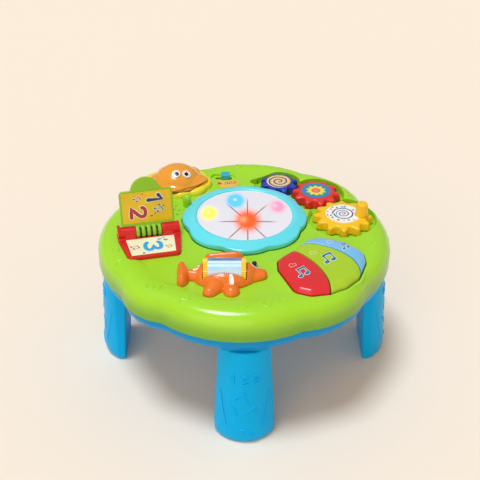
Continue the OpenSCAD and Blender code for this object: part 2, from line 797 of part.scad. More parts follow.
// ---- keys ----
module key_plan(i, shrink = 0) {
  gap = key_gap + shrink;
  half = key_gap / 2 + shrink;
  difference() {
    offset(delta = -gap) key_outline();
    if (i == 0) difference() {
      square(400, center = true);
      translate(red_arc) circle(red_arc_r - half, $fn = 120);
    }
    if (i > 0) translate(red_arc) circle(red_arc_r + half, $fn = 120);
    if (i == 1) difference() {
      square(400, center = true);
      translate(green_arc) circle(green_arc_r - half, $fn = 120);
    }
    if (i == 2) translate(green_arc) circle(green_arc_r + half, $fn = 120);
  }
}

// The crown that the three keys share: low at the hinge, steep at the front
module key_crown() {
  hull() {
    translate([0, 0, key_bottom_z]) linear_extrude(deck_z + 2.2 - key_bottom_z) key_outline();
    translate([0, 0, deck_z + key_rise - 3]) linear_extrude(0.1) offset(delta = -1.8) key_outline();
    translate([0, 0, deck_z + key_rise - 0.8]) linear_extrude(0.1) offset(delta = -4.6) key_outline();
    translate([0, 0, deck_z + key_rise + 0.6]) linear_extrude(0.1) offset(delta = -10) key_outline();
  }
}

module key(i) {
  difference() {
    union() {
      intersection() {
        translate([0, 0, key_bottom_z]) linear_extrude(40) key_plan(i);
        key_crown();
      }
      // arm to the hinge pin
      key_frame() translate([key_lugs[i] - key_lug_w / 2, -key_arm_l, -2.2]) cube([key_lug_w, key_arm_l, 5.2]);
      key_rod(key_lug_r, key_lugs[i] - key_lug_w / 2, key_lugs[i] + key_lug_w / 2);
    }
    difference() {
      translate([0, 0, key_bottom_z - 1]) linear_extrude(deck_z - key_bottom_z) key_plan(i, wall - 0.6);
      key_frame() translate([key_lugs[i] - key_lug_w / 2, -key_arm_l, -2.2]) cube([key_lug_w, key_arm_l, 5.2]);
    }
    key_rod(key_pin_d / 2 + run_gap, key_lugs[i] - key_lug_w, key_lugs[i] + key_lug_w);
  }
  // plunger over the rubber pad
  translate([key_pads[i].x, key_pads[i].y, key_bottom_z]) cylinder(r = 3, h = deck_z - key_bottom_z);
}

module red_key() color("#E8383C") key(0);
module green_key() color("#B4D838") key(1);
module blue_key() color("#7CC4F0") key(2);
module key_pin() color("silver") key_rod(key_pin_d / 2, key_pin_ends[0], key_pin_ends[1]);

module key_board() color("#2E6E3A") {
  translate([key_pads[1].x, key_pads[1].y, key_board_z]) rotate(key_board_a) difference() {
    block([key_board_l, 20, key_board_t]);
    for (d = [-40, 40]) translate([d, 0, -1]) cylinder(r = small_screw_r + 0.2, h = 5);
  }
}

module key_pad(i) color("#E8E8E8")
  translate([key_pads[i].x, key_pads[i].y, key_board_z + key_board_t]) {
    h = key_pad_top - key_board_z - key_board_t;
    cylinder(r1 = 6, r2 = 4, h = h);
  }

// ---- fish ----
module fish_footprint(grow = 0) {
  offset(r = grow) {
    translate(fish_place) scale([1.35, 1]) circle(22.5, $fn = 40);
    translate([9, -81]) circle(9, $fn = 24);
    translate([-56, -84]) scale([0.55, 1]) circle(14, $fn = 24);
    translate([-29, -108]) circle(9, $fn = 24);
    translate([-15, -109]) circle(7, $fn = 24);
  }
}

module ball(p, s, n = 20) {
  translate(p) scale(s) sphere(1, $fn = n);
}

module roller_pocket() {
  translate([roller_x[0] - roller_gap, roller_y, roller_z]) rotate([0, 90, 0])
    cylinder(r = roller_r + roller_gap, h = roller_l + 2 * roller_gap);
}

module fish_body() color("#F08028") {
  difference() {
    union() {
      // body and head
      hull() {
        ball([fish_place.x, fish_place.y, deck_z], [31, 22, fish_h - 2]);
        ball([0, -81, deck_z + 1], [13, 14, 12]);
      }
      hull() {
        ball([2, -82, deck_z], [11, 12, 9]);
        ball([17, -82, deck_z + 2.5], [4.5, 6.5, 4.5]);
      }
      // tail
      hull() {
        ball([-44, -84, deck_z], [6, 7, 9]);
        ball([-54, -84, deck_z], [5, 5, 9]);
      }
      hull() {
        ball([-58, -93, deck_z], [5, 6, 11]);
        ball([-55, -84, deck_z], [5, 4, 10]);
        ball([-59, -75, deck_z], [5, 6, 12]);
      }
      // dorsal fin behind the roller
      hull() {
        ball([-32, -64, deck_z], [8, 6, 14]);
        ball([-8, -64, deck_z], [10, 6, 16]);
      }
      // belly fins
      hull() {
        ball([-27, -100, deck_z], [10, 9, 10]);
        ball([-32, -109, deck_z], [7, 6, 7]);
      }
      ball([-12, -107, deck_z], [8, 8, 7.5]);
    }
    translate([-200, -200, -1]) cube([400, 400, deck_z + 1]);
    roller_pocket();
    translate([roller_x[0] - 8, roller_y, roller_z]) rotate([0, 90, 0])
      cylinder(r = roller_axle_d / 2 + hold_gap, h = roller_l + 14);
    at_all(fish_bosses, deck_z - 1) cylinder(r = small_screw_r + hold_gap, h = 6);
    ball(fish_eye_place, fish_eye_size + seat_gap * [1, 1, 1]);
  }
}

fish_eye_place = [9.3, -74.5, deck_z + 9.7];
fish_eye_size = [2.4, 2.4, 2.4];
module fish_eye() color("#202830") ball(fish_eye_place, fish_eye_size);

module roller() color("#FFC820") {
  ring_w = 4;
  translate([roller_x[0], roller_y, roller_z]) rotate([0, 90, 0]) difference() {
    union() {
      translate([0, 0, ring_w - 1]) cylinder(r = roller_r - 0.6, h = roller_l - 2 * ring_w + 2);
      for (z = [0, roller_l - ring_w]) translate([0, 0, z]) ridged_ring(roller_r, ring_w);
    }
    translate([0, 0, -1]) cylinder(r = roller_axle_d / 2 + run_gap, h = roller_l + 2);
    translate([0, 0, 2]) tube(roller_r - 3, roller_axle_d / 2 + 1.6, roller_l - 4);
  }
}

// A ring with ridges along its length, as a coarse grip
module ridged_ring(r, w) {
  ridges = 36;
  linear_extrude(w) polygon([for (i = [0 : 2 * ridges - 1])
    let(a = 180 * i / ridges, q = i % 2 == 0 ? r : r - 0.5) [q * cos(a), q * sin(a)]]);
}

module roller_label() color("#A8DCF4")
  translate([roller_x[0] + 4 + 0.5, roller_y, roller_z]) rotate([0, 90, 0])
    tube(roller_r - 0.3, roller_r - 0.6, roller_l - 9);

module roller_axle() color("silver")
  translate([roller_x[0] - 6, roller_y, roller_z]) rotate([0, 90, 0])
    cylinder(r = roller_axle_d / 2, h = roller_l + 11);

// ---- book ----
module book_frame(z = 0) {
  translate([book_place.x, book_place.y, z]) rotate(book_a) children();
}

module book_footprint(grow = 0) {
  translate(book_place) rotate(book_a) offset(delta = grow)
    polygon([[-spine_l / 2, 7], [-spine_l / 2, -9], [-base_edge_w / 2, -base_reach + 3],
      [-base_edge_w / 2 + 3, -base_reach], [base_edge_w / 2 - 3, -base_reach],
      [base_edge_w / 2, -base_reach + 3], [spine_l / 2, -9], [spine_l / 2, 7]]);
}

module spine_rod(r, s0, s1) {
  book_frame(spine_z) translate([s0, 0, 0]) rotate([0, 90, 0]) cylinder(r = r, h = s1 - s0);
}

module book_base() color("#DC2024") {
  barrel = (spine_l - knuckle_l) / 2 - slip_gap;
  difference() {
    union() {
      translate([0, 0, seat_z]) linear_extrude(deck_z + base_h - seat_z) book_footprint();
      spine_rod(spine_r, -spine_l / 2, -spine_l / 2 + barrel);
      spine_rod(spine_r, spine_l / 2 - barrel, spine_l / 2);
      book_frame(deck_z) for (s = [-1, 1]) translate([s * (spine_l / 2 - barrel / 2), 0, 0])
        block([barrel, 2 * spine_r, spine_rise]);
      // stop cheek at the left end
      book_frame(deck_z) translate([-spine_l / 2, -4, 0]) cube([3, 11, spine_rise + 6]);
    }
    // seat of the label and room for the knuckle
    translate([0, 0, deck_z + base_h - 0.5]) linear_extrude(3) label_plan(slip_gap);
    spine_rod(spine_r + 0.6, -knuckle_l / 2 - slip_gap, knuckle_l / 2 + slip_gap);
    spine_rod(book_pin_r + hold_gap, -spine_l / 2 + 2, spine_l / 2 - 2);
  }
}

module label_plan(grow = 0) {
  translate(book_place) rotate(book_a) offset(delta = grow)
    polygon([[-24, -8.5], [-base_edge_w / 2 + 4.5, -base_reach + 4], [base_edge_w / 2 - 4.5, -base_reach + 4],
      [24, -8.5]]);
}

module base_label() color("#FFFBD8")
  translate([0, 0, deck_z + base_h - 0.5]) linear_extrude(label_t) label_plan();

// The page in its own frame: X along the spine, Y away from it, Z out of its printed face
module page_pose() {
  book_frame(spine_z) rotate([90 - page_lean, 0, 0]) children();
}

module page_plan(inset = 0) {
  offset(r = 4 - inset) offset(delta = -4) difference() {
    union() {
      translate([-page_w / 2, page_start]) square([page_w, page_l - page_start]);
    }
  }
}

module book_page() color("#9CD030") {
  difference() {
    union() {
      page_pose() translate([0, 0, -page_t / 2]) linear_extrude(page_t) {
        page_plan();
        translate([-page_w / 2, page_start]) square([page_w, 8]);
        intersection() {
          translate([0, page_l - 2]) circle(tab_r);
          translate([-20, page_l - 4]) square([40, 30]);
        }
        translate([-knuckle_l / 2 + 1.5, 3]) square([knuckle_l - 3, page_start]);
      }
      spine_rod(spine_r - 0.9, -knuckle_l / 2, knuckle_l / 2);
      // ribs round the knuckle
      for (i = [-2 : 2]) spine_rod(spine_r, i * 5.5 - 1.5, i * 5.5 + 1.5);
    }
    page_pose() translate([0, 0, page_t / 2 - 0.3]) linear_extrude(2) page_print(0.3);
    spine_rod(book_pin_r + run_gap, -knuckle_l, knuckle_l);
  }
}

module page_print(grow = 0) {
  translate([-page_w / 2 + 2 - grow, page_start + 2 - grow])
    square([page_w - 4 + 2 * grow, page_l - page_start - 3.6 + 2 * grow]);
}

module page_label() color("#D8C000")
  page_pose() translate([0, 0, page_t / 2 - 0.3]) linear_extrude(label_t) page_print();

module book_pin() color("silver") spine_rod(book_pin_r, -spine_l / 2 + 2.5, spine_l / 2 - 2.5);

// ---- dome figure ----
module dome_petal_ring(grow, h) {
  for (i = [0 : dome_petals - 1]) {
    a = 360 * i / dome_petals;
    translate([dome_place.x + dome_ring.x * cos(a), dome_place.y + dome_ring.y * sin(a), 0])
      cylinder(r = dome_petal_r + grow, h = h);
  }
  translate([dome_place.x, dome_place.y, 0]) cylinder(r = 20, h = h);
}

module dome_base() color("#FFE030") {
  difference() {
    union() {
      for (i = [0 : dome_petals - 1]) {
        a = 360 * i / dome_petals;
        translate([dome_place.x + dome_ring.x * cos(a), dome_place.y + dome_ring.y * sin(a), 0])
          rotate_extrude() polygon([[0, seat_z], [dome_petal_r, seat_z], [dome_petal_r, dome_base_z - 4.5],
            [dome_petal_r - 0.9, dome_base_z - 2], [dome_petal_r - 3, dome_base_z - 0.4],
            [dome_petal_r - 5, dome_base_z], [0, dome_base_z]]);
      }
      translate([dome_place.x, dome_place.y, seat_z]) cylinder(r = 20, h = dome_base_z - seat_z);
    }
    translate([dome_place.x, dome_place.y, 0]) {
      translate([0, 0, deck_z + 2]) cylinder(r = dome_r + 0.8, h = 20);
      cylinder(r = dome_stem_r + slip_gap, h = 300);
    }
  }
}

dome_ball_r = (dome_r * dome_r + dome_h * dome_h) / (2 * dome_h);
dome_low_z = dome_base_z - 1;
dome_ball_z = dome_low_z + dome_h - dome_ball_r;
dome_flange_z = seat_z - 2.7;
dome_stem_top = dome_ball_z + sqrt(pow(dome_ball_r, 2) - pow(dome_stem_r, 2)) - 1;

module dome_button() color("#FF9A30") {
  translate([dome_place.x, dome_place.y, 0]) {
    difference() {
      intersection() {
        translate([0, 0, dome_low_z]) cylinder(r = dome_r, h = dome_h + 5);
        translate([0, 0, dome_ball_z]) sphere(dome_ball_r, $fn = 96);
      }
      translate([0, 0, dome_ball_z]) sphere(dome_ball_r - 2.5, $fn = 96);
    }
    translate([0, 0, dome_flange_z]) tube(dome_stem_r, dome_stem_r - 2, dome_stem_top - dome_flange_z);
    translate([0, 0, dome_flange_z]) tube(dome_stem_r + 2, dome_stem_r - 1, 2.4);
  }
}

eye_places = [[0, -13], [11, -11]];
pupil_places = [[0.9, -13.6], [10.6, -11.6]];
eye_t = 1.2;
module dome_eyes() color("white") dome_discs(eye_places, 4.7, seat_gap, eye_t);
module dome_pupils() color("black") dome_discs(pupil_places, 2.2, eye_t + seat_gap, eye_t + 0.7);

// Discs that follow the dome, between two heights above its surface
module dome_discs(places, r, low, high) {
  translate([dome_place.x, dome_place.y, dome_ball_z]) intersection() {
    difference() {
      sphere(dome_ball_r + high, $fn = 96);
      sphere(dome_ball_r + low, $fn = 96);
    }
    for (p = places) rotate([0, asin(norm(p) / dome_ball_r), atan2(p.y, p.x)])
      cylinder(r = r, h = dome_ball_r + 5);
  }
}

module dome_spring() color("silver")
  translate([dome_place.x, dome_place.y, seam_z]) coil(dome_stem_r, dome_flange_z - seam_z, 4, 0.6);

// ---- switch ----
module slide_switch() color("#303030") difference() {
  translate([switch_place.x, switch_place.y, ceiling_z - switch_box.z]) block(switch_box);
  translate([switch_place.x, switch_place.y, ceiling_z - 5])
    block([switch_slot_l, switch_slot_w + 2, 10]);
}

module switch_knob() color("#10A8C0") {
  translate([switch_place.x + 2, switch_place.y, 0]) {
    translate([0, 0, seat_z + slip_gap]) block([switch_w, switch_w, switch_rise]);
    translate([0, 0, ceiling_z - 4]) block([5, switch_slot_w - 2 * slip_gap, 8]);
  }
}

module switch_label() color("#F4C040") difference() {
  intersection() {
    translate([label_place.x, label_place.y, deck_z]) scale([1.2, 1, 1]) cylinder(r = 10, h = label_t, $fn = 48);
    cylinder(r = notch_r - rim_w - slope_w - 1, h = deck_z + 1);
  }
  switch_oval(1, deck_z - 1, 3);
}

// ---- sound and boards ----
module speaker() color("#303438") translate([speaker_place.x, speaker_place.y, ceiling_z - speaker_h]) {
  cylinder(r = speaker_r * 0.55, h = speaker_h);
  translate([0, 0, speaker_h - 9]) cylinder(r1 = speaker_r * 0.6, r2 = speaker_r * 0.95, h = 6);
  translate([0, 0, speaker_h - 3]) cylinder(r = speaker_r, h = 3);
}

module main_board() color("#2E6E3A")
  translate([board_place.x, board_place.y, board_z]) rotate(board_a) difference() {
    block(board_size);
    for (sx = [-1, 1], sy = [-1, 1])
      translate([sx * (board_size.x / 2 - 4), sy * (board_size.y / 2 - 4), -1])
        cylinder(r = small_screw_r + 0.2, h = 5);
  }

module inner_screws() color("silver") {
  at_all(board_posts(), board_z + board_size.z) mirror([0, 0, 1]) screw(6, small_screw_r * 2, 2.4, 1.4);
  at_all(key_board_posts, key_board_z + key_board_t) mirror([0, 0, 1])
    screw(6, small_screw_r * 2, 2.4, 1.4);
  at_all(fish_bosses, ceiling_z - 5) screw(wall + 9, small_screw_r * 2, 2.4, 1.4);
  at_all([for (a = [45 : 90 : 315]) along(drum_place, a, 36)], board_on_tray_z + 1.6)
    mirror([0, 0, 1]) screw(5, small_screw_r * 2, 2.4, 1.4);
  at_all([for (a = tray_ear_angles) along(drum_place, a, tray_ear_r)], tray_z)
    screw(8, screw_d, screw_head_r, screw_head_h);
}

top_shell();
bottom_pan();
leg(leg_angles[0]);  // front_leg
leg(leg_angles[1]);  // right_leg
leg(leg_angles[2]);  // rear_leg
leg(leg_angles[3]);  // left_leg
battery_door();
door_screw();
batteries();
battery_contacts();
shell_screws();
drum_ring();
drum_lens();
drum_springs();
light_tray();
led_board();
led(0, "#FFE840");  // yellow_led
led(1, "#50A8FF");  // blue_led
led(2, "#FF90B8");  // pink_led
led(3, "#FF4020");  // red_led
yellow_gear();
yellow_gear_label();
crank_knob();
red_gear();
red_gear_label();
blue_gear();
blue_gear_label();
gear_washers();
gear_screws();
red_key();
green_key();
blue_key();
key_pin();
key_board();
key_pad(0);  // red_key_pad
key_pad(1);  // green_key_pad
key_pad(2);  // blue_key_pad
fish_body();
fish_eye();
roller();
roller_label();
roller_axle();
book_base();
base_label();
book_page();
page_label();
book_pin();
dome_base();
dome_button();
dome_eyes();
dome_pupils();
dome_spring();
slide_switch();
switch_knob();
switch_label();
speaker();
main_board();
inner_screws();
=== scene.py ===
import math
import bpy
import bmesh
from mathutils import Matrix, Vector
from mathutils.bvhtree import BVHTree


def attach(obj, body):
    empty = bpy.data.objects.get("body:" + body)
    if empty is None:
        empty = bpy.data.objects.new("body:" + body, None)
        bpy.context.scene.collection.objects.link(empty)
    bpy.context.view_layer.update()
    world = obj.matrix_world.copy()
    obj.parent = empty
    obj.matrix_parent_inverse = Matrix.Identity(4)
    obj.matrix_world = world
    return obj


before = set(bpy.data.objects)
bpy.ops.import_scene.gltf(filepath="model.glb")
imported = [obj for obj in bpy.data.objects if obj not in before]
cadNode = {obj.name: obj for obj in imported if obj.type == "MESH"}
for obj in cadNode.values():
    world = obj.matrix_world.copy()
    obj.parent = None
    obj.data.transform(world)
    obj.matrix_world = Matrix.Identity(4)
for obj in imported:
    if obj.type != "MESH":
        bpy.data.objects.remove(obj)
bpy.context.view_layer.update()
scene = bpy.context.scene
mm = 0.001  # lengths in the dictionaries are in millimetres


# Camera, first, at the photograph's height and tilt
photoCamera = {"place": (-4.2, -769.4, 637.5), "tilt": 56.847, "lens": 67.46}

cameraData = bpy.data.cameras.new("photoCamera")
cameraData.lens = photoCamera["lens"]
cameraData.sensor_width = 36
cameraData.clip_start = 0.01
camera = bpy.data.objects.new("photoCamera", cameraData)
scene.collection.objects.link(camera)
camera.location = Vector(photoCamera["place"]) * mm
camera.rotation_euler = (math.radians(photoCamera["tilt"]), 0, 0)
scene.camera = camera
print("camera placed")


# Materials
def linearColour(hexText):
    values = [int(hexText[i:i + 2], 16) / 255 for i in (1, 3, 5)]
    return [v / 12.92 if v <= 0.04045 else ((v + 0.055) / 1.055) ** 2.4 for v in values] + [1]


def addNode(tree, kind, links=None, **settings):
    node = tree.nodes.new(kind)
    for name, value in settings.items():
        setattr(node, name, value)
    for socket, source in (links or {}).items():
        if isinstance(source, bpy.types.NodeSocket):
            tree.links.new(source, node.inputs[socket])
        else:
            node.inputs[socket].default_value = source
    return node


def newMaterial(name):
    material = bpy.data.materials.new(name)
    material.use_nodes = True
    material.node_tree.nodes.clear()
    return material, material.node_tree


def closeMaterial(material, tree, shader):
    addNode(tree, "ShaderNodeOutputMaterial", {"Surface": shader.outputs[0]})
    return material


def mixColour(tree, factor, below, above):
    return addNode(tree, "ShaderNodeMix", {0: factor, 6: below, 7: above}, data_type="RGBA").outputs[2]


# 0 to 1 while the value goes from start to end, straight or eased
def share(tree, value, start, end, low=0.0, high=1.0, easing="LINEAR"):
    return addNode(tree, "ShaderNodeMapRange", {
        "Value": value, "From Min": start, "From Max": end, "To Min": low, "To Max": high},
        interpolation_type=easing).outputs[0]


def objectPlace(tree):
    return addNode(tree, "ShaderNodeTexCoord").outputs["Object"]


def noise(tree, place, scale, detail):
    links = {"Vector": place, "Scale": scale, "Detail": detail}
    return addNode(tree, "ShaderNodeTexNoise", links).outputs["Fac"]


# Injection-moulded ABS: even colour, a soft gloss, the faint orange peel of a polished tool.
# The foot of a wall can take painted shade, darker from one height down to another, where the wall turns
# under away from the light.
def mouldedAbs(name, colour, shade, roughness, peel=0.12, foot=None, **sockets):
    material, tree = newMaterial(name)
    place = objectPlace(tree)
    tone = noise(tree, place, 18.0, 2.0)
    tint = mixColour(tree, tone, linearColour(colour), linearColour(shade))
    if foot:
        # painted shade: the colour darkens toward the foot of the wall
        height = addNode(tree, "ShaderNodeSeparateXYZ", {0: place}).outputs["Z"]
        footShadeShare = share(tree, height, foot["from"] * mm, foot["to"] * mm, easing="SMOOTHSTEP")
        tint = mixColour(tree, footShadeShare, tint, linearColour(foot["colour"]))
    # peel cells of about 1.2 mm
    relief = addNode(tree, "ShaderNodeBump", {
        "Height": noise(tree, place, 850.0, 1.0), "Strength": peel, "Distance": 0.0002})
    links = {"Base Color": tint, "Roughness": share(tree, tone, 0, 1, roughness - 0.04, roughness + 0.06),
             "Normal": relief.outputs[0], "IOR": 1.53}
    links.update(sockets)
    return closeMaterial(material, tree, addNode(tree, "ShaderNodeBsdfPrincipled", links))


# Pad-printed ink under a thin clear coat, with the dot screen of the press
def printedInk(name, colour, shade):
    material, tree = newMaterial(name)
    # the screen is drawn at 0.8 mm so that it shows
    dots = addNode(tree, "ShaderNodeTexVoronoi", {"Vector": objectPlace(tree), "Scale": 1250.0})
    ink = share(tree, dots.outputs["Distance"], 0.1, 0.6, 0.0, 0.35)
    relief = addNode(tree, "ShaderNodeBump", {
        "Height": dots.outputs["Distance"], "Strength": 0.04, "Distance": 0.0001})
    shader = addNode(tree, "ShaderNodeBsdfPrincipled", {
        "Base Color": mixColour(tree, ink, linearColour(colour), linearColour(shade)), "Roughness": 0.32,
        "Coat Weight": 0.4, "Coat Roughness": 0.12, "Normal": relief.outputs[0]})
    return closeMaterial(material, tree, shader)


def calculate(tree, operation, a, b=0.0, c=0.0):
    return addNode(tree, "ShaderNodeMath", {0: a, 1: b, 2: c}, operation=operation).outputs[0]


def colourSteps(tree, factor, steps):
    ramp = addNode(tree, "ShaderNodeValToRGB", {"Fac": factor})
    ramp.color_ramp.interpolation = "CONSTANT"
    while len(ramp.color_ramp.elements) < len(steps):
        ramp.color_ramp.elements.new(0.5)
    for element, (at, colour) in zip(ramp.color_ramp.elements, steps):
        element.position = at
        element.color = linearColour(colour)
    return ramp.outputs["Color"]


# The plan view round a centre, in millimetres; squash below 1 draws a disc out along Y
def centredOn(tree, place, centre, squash=1.0):
    return addNode(tree, "ShaderNodeMapping", {
        "Vector": place, "Scale": (1000, 1000 * squash, 0),
        "Location": (-centre[0], -centre[1] * squash, 0)}).outputs[0]


def awayFrom(tree, centred):
    return addNode(tree, "ShaderNodeVectorMath", {0: centred}, operation="LENGTH").outputs["Value"]


# The turn round the centre, from 0 to 1
def turnRound(tree, centred, across="X", up="Y"):
    parts = addNode(tree, "ShaderNodeSeparateXYZ", {0: centred}).outputs
    return calculate(tree, "MULTIPLY_ADD", calculate(tree, "ARCTAN2", parts[up], parts[across]),
                     1 / (2 * math.pi), 0.5)


# Up and down between 0 and 0.5 a number of times in a full turn
def turnSaw(tree, centred, times):
    turn = calculate(tree, "MULTIPLY", turnRound(tree, centred), times)
    return calculate(tree, "PINGPONG", turn, 0.5)


# 1 inside the radius and 0 beyond it, soft over the given width
def softDisc(tree, distance, radius, soft):
    return share(tree, distance, radius - soft, radius + soft, 1.0, 0.0, "SMOOTHSTEP")


def filmShader(tree, colour):
    return addNode(tree, "ShaderNodeBsdfPrincipled", {
        "Base Color": colour, "Roughness": 0.3, "Coat Weight": 0.4, "Coat Roughness": 0.12})


# colours of the mouldings, in sRGB
# painted shade: the rim's green darkens from 146 mm down to 123 mm, where its roll turns under into shade
shellFootShade = {"colour": "#72B01C", "from": 146, "to": 123}
shellGreen = mouldedAbs("glossGreenAbs", "#ACE634", "#A2DE2A", 0.2, foot=shellFootShade)
panBlue = mouldedAbs("glossSkyAbs", "#0098E0", "#008ED6", 0.26, **{"Specular IOR Level": 0.15})
legBlue = mouldedAbs("satinBlueAbs", "#00BAFF", "#00AEF6", 0.34, **{"Specular IOR Level": 0.1})
ringCyan = mouldedAbs("glossCyanAbs", "#70ECFA", "#5CE2F2", 0.18)
gearYellow = mouldedAbs("glossYellowAbs", "#FFCE24", "#FFC418", 0.28)
gearRed = mouldedAbs("glossRedAbs", "#EA3C36", "#E0302C", 0.24)
gearBlue = mouldedAbs("glossRoyalAbs", "#2446C0", "#1C3CAE", 0.22)
keyRed = mouldedAbs("keyRedAbs", "#E8303A", "#DE262E", 0.2)
keyGreen = mouldedAbs("keyLimeAbs", "#B4D832", "#A8D024", 0.24)
keyBlue = mouldedAbs("keySkyAbs", "#84C8F8", "#76BEF2", 0.22)
fishOrange = mouldedAbs("glossOrangeAbs", "#F5802A", "#F07420", 0.24)
bookRed = mouldedAbs("bookRedAbs", "#DE2226", "#D41C20", 0.2)
pageLime = mouldedAbs("pageLimeAbs", "#96CC24", "#8CC41C", 0.3)
baseYellow = mouldedAbs("baseYellowAbs", "#FFEC34", "#FFE428", 0.28)
knobTeal = mouldedAbs("knobTealAbs", "#20BCD8", "#14AECA", 0.22)
rollerYellow = mouldedAbs("rollerYellowAbs", "#FFD02A", "#FFC61C", 0.3)
# painted shade: the dark inside the knuckle's slots
slotShade = mouldedAbs("paintedSlotShade", "#2C4008", "#243604", 0.5)
blackAbs = mouldedAbs("blackAbs", "#26282C", "#1E2024", 0.4)
innerWhite = mouldedAbs("matteWhitePs", "#EEEEE8", "#E6E6E0", 0.5)
eyeWhite = mouldedAbs("paintedWhite", "#F8F8F6", "#F0F0EE", 0.2, 0.05)
eyeBlack = mouldedAbs("paintedBlack", "#16181C", "#101216", 0.15, 0.05)
# silicone rubber: soft and barely shiny
padRubber = mouldedAbs("siliconeRubber", "#E2E2DC", "#D8D8D2", 0.6, 0.2)
# glass-fibre board under green solder mask
boardGreen = mouldedAbs("solderMaskBoard", "#2C6C38", "#245E30", 0.35)
# heat-shrunk sleeve of a battery cell
cellSleeve = mouldedAbs("cellSleeveFilm", "#3A4048", "#30363E", 0.3, 0.05)
# pad-printed inks on the mouldings
inkWhite = printedInk("whiteInk", "#FAFAF6", "#F2F2EE")
inkBlue = printedInk("blueInk", "#1478B4", "#106CA8")
inkSky = printedInk("skyInk", "#18ACE8", "#10A0E0")
inkNavy = printedInk("navyInk", "#2C3470", "#242C64")
inkCrimson = printedInk("crimsonInk", "#B82C34", "#AC242C")
inkPink = printedInk("pinkInk", "#D8507C", "#CC4470")
inkOlive = printedInk("oliveInk", "#C0AC40", "#B4A034")
inkScarlet = printedInk("scarletInk", "#F05424", "#E84A1C")


# Tinted polycarbonate, moulded clear and polished: lets some of the light through
def tintedClear(name, colour, shade, **sockets):
    settings = {"Transmission Weight": 0.05, "Coat Weight": 0.3, "Coat Roughness": 0.06}
    settings.update(sockets)
    material = mouldedAbs(name, colour, shade, 0.16, 0.05, **settings)
    material.node_tree.nodes["Principled BSDF"].inputs["IOR"].default_value = 1.58
    return material


domeAmber = tintedClear("amberPolycarbonate", "#FFAE3C", "#FFA028")
ledTints = {"yellow_led": "#FFE840", "blue_led": "#50A8FF", "pink_led": "#FF90B8", "red_led": "#FF4020"}
ledEpoxy = {}
for ledName, tint in ledTints.items():
    ledEpoxy[ledName] = tintedClear(ledName + "Epoxy", tint, tint, **{
        "Emission Color": linearColour(tint), "Emission Strength": 0.6})


# Drawn steel wire and zinc-plated screws: grey metal with fine lines along the pull
def drawnSteel():
    material, tree = newMaterial("zincPlatedSteel")
    lines = noise(tree, objectPlace(tree), 1600.0, 2.0)
    shader = addNode(tree, "ShaderNodeBsdfPrincipled", {
        "Base Color": linearColour("#B8BCC0"), "Metallic": 1.0,
        "Roughness": share(tree, lines, 0, 1, 0.22, 0.42)})
    return closeMaterial(material, tree, shader)


steel = drawnSteel()
print("plain materials made")


# the printed films and the lit lens
gearFilm = {
    "yellow": {"centre": (102.47, 25.0), "pitch": 3.4, "spiral": 7.4, "ring": 9.2, "dots": (12.4, 17.2)},
    "red": {"centre": (77.8, 72.8), "petals": 10, "petalLong": 6.4, "petalFoot": 8.4},
    "blue": {"centre": (38.73, 93.05), "pitch": 5.2},
}


# Blue disc with a yellow flower of ten points and an orange heart
def flowerFilm():
    film = gearFilm["red"]
    material, tree = newMaterial("flowerFilm")
    centred = centredOn(tree, objectPlace(tree), film["centre"])
    away = awayFrom(tree, centred)
    saw = turnSaw(tree, centred, film["petals"])
    reach = calculate(tree, "MULTIPLY_ADD", saw, film["petalLong"], film["petalFoot"])
    past = calculate(tree, "SUBTRACT", away, reach)
    colour = linearColour("#1688C4")
    for distance, radius, soft, tint in ((past, 0.0, 0.25, "#A8D04C"), (past, -1.3, 0.5, "#FFE24A"),
                                         (away, 5.0, 0.3, "#F06038"), (away, 3.4, 0.9, "#F48A6A")):
        colour = mixColour(tree, softDisc(tree, distance, radius, soft), colour, linearColour(tint))
    return closeMaterial(material, tree, filmShader(tree, colour))


# How far along its pitch a spiral is, from 0 to 1
def spiralShare(tree, away, turn, pitch):
    along = calculate(tree, "DIVIDE", away, pitch)
    return calculate(tree, "FRACT", calculate(tree, "SUBTRACT", along, turn))


# Cream disc with a navy spiral that opens outward
def spiralFilm():
    film = gearFilm["blue"]
    material, tree = newMaterial("spiralFilm")
    centred = centredOn(tree, objectPlace(tree), film["centre"])
    away = awayFrom(tree, centred)
    spiral = spiralShare(tree, away, turnRound(tree, centred), film["pitch"])
    bands = colourSteps(tree, spiral, [(0.0, "#3A3A78"), (0.26, "#FFF6DC"), (0.42, "#F8C468"),
                                       (0.86, "#C8A0A8"), (0.94, "#3A3A78")])
    colour = mixColour(tree, softDisc(tree, away, 1.4, 0.3), bands, linearColour("#9CC8A0"))
    return closeMaterial(material, tree, filmShader(tree, colour))


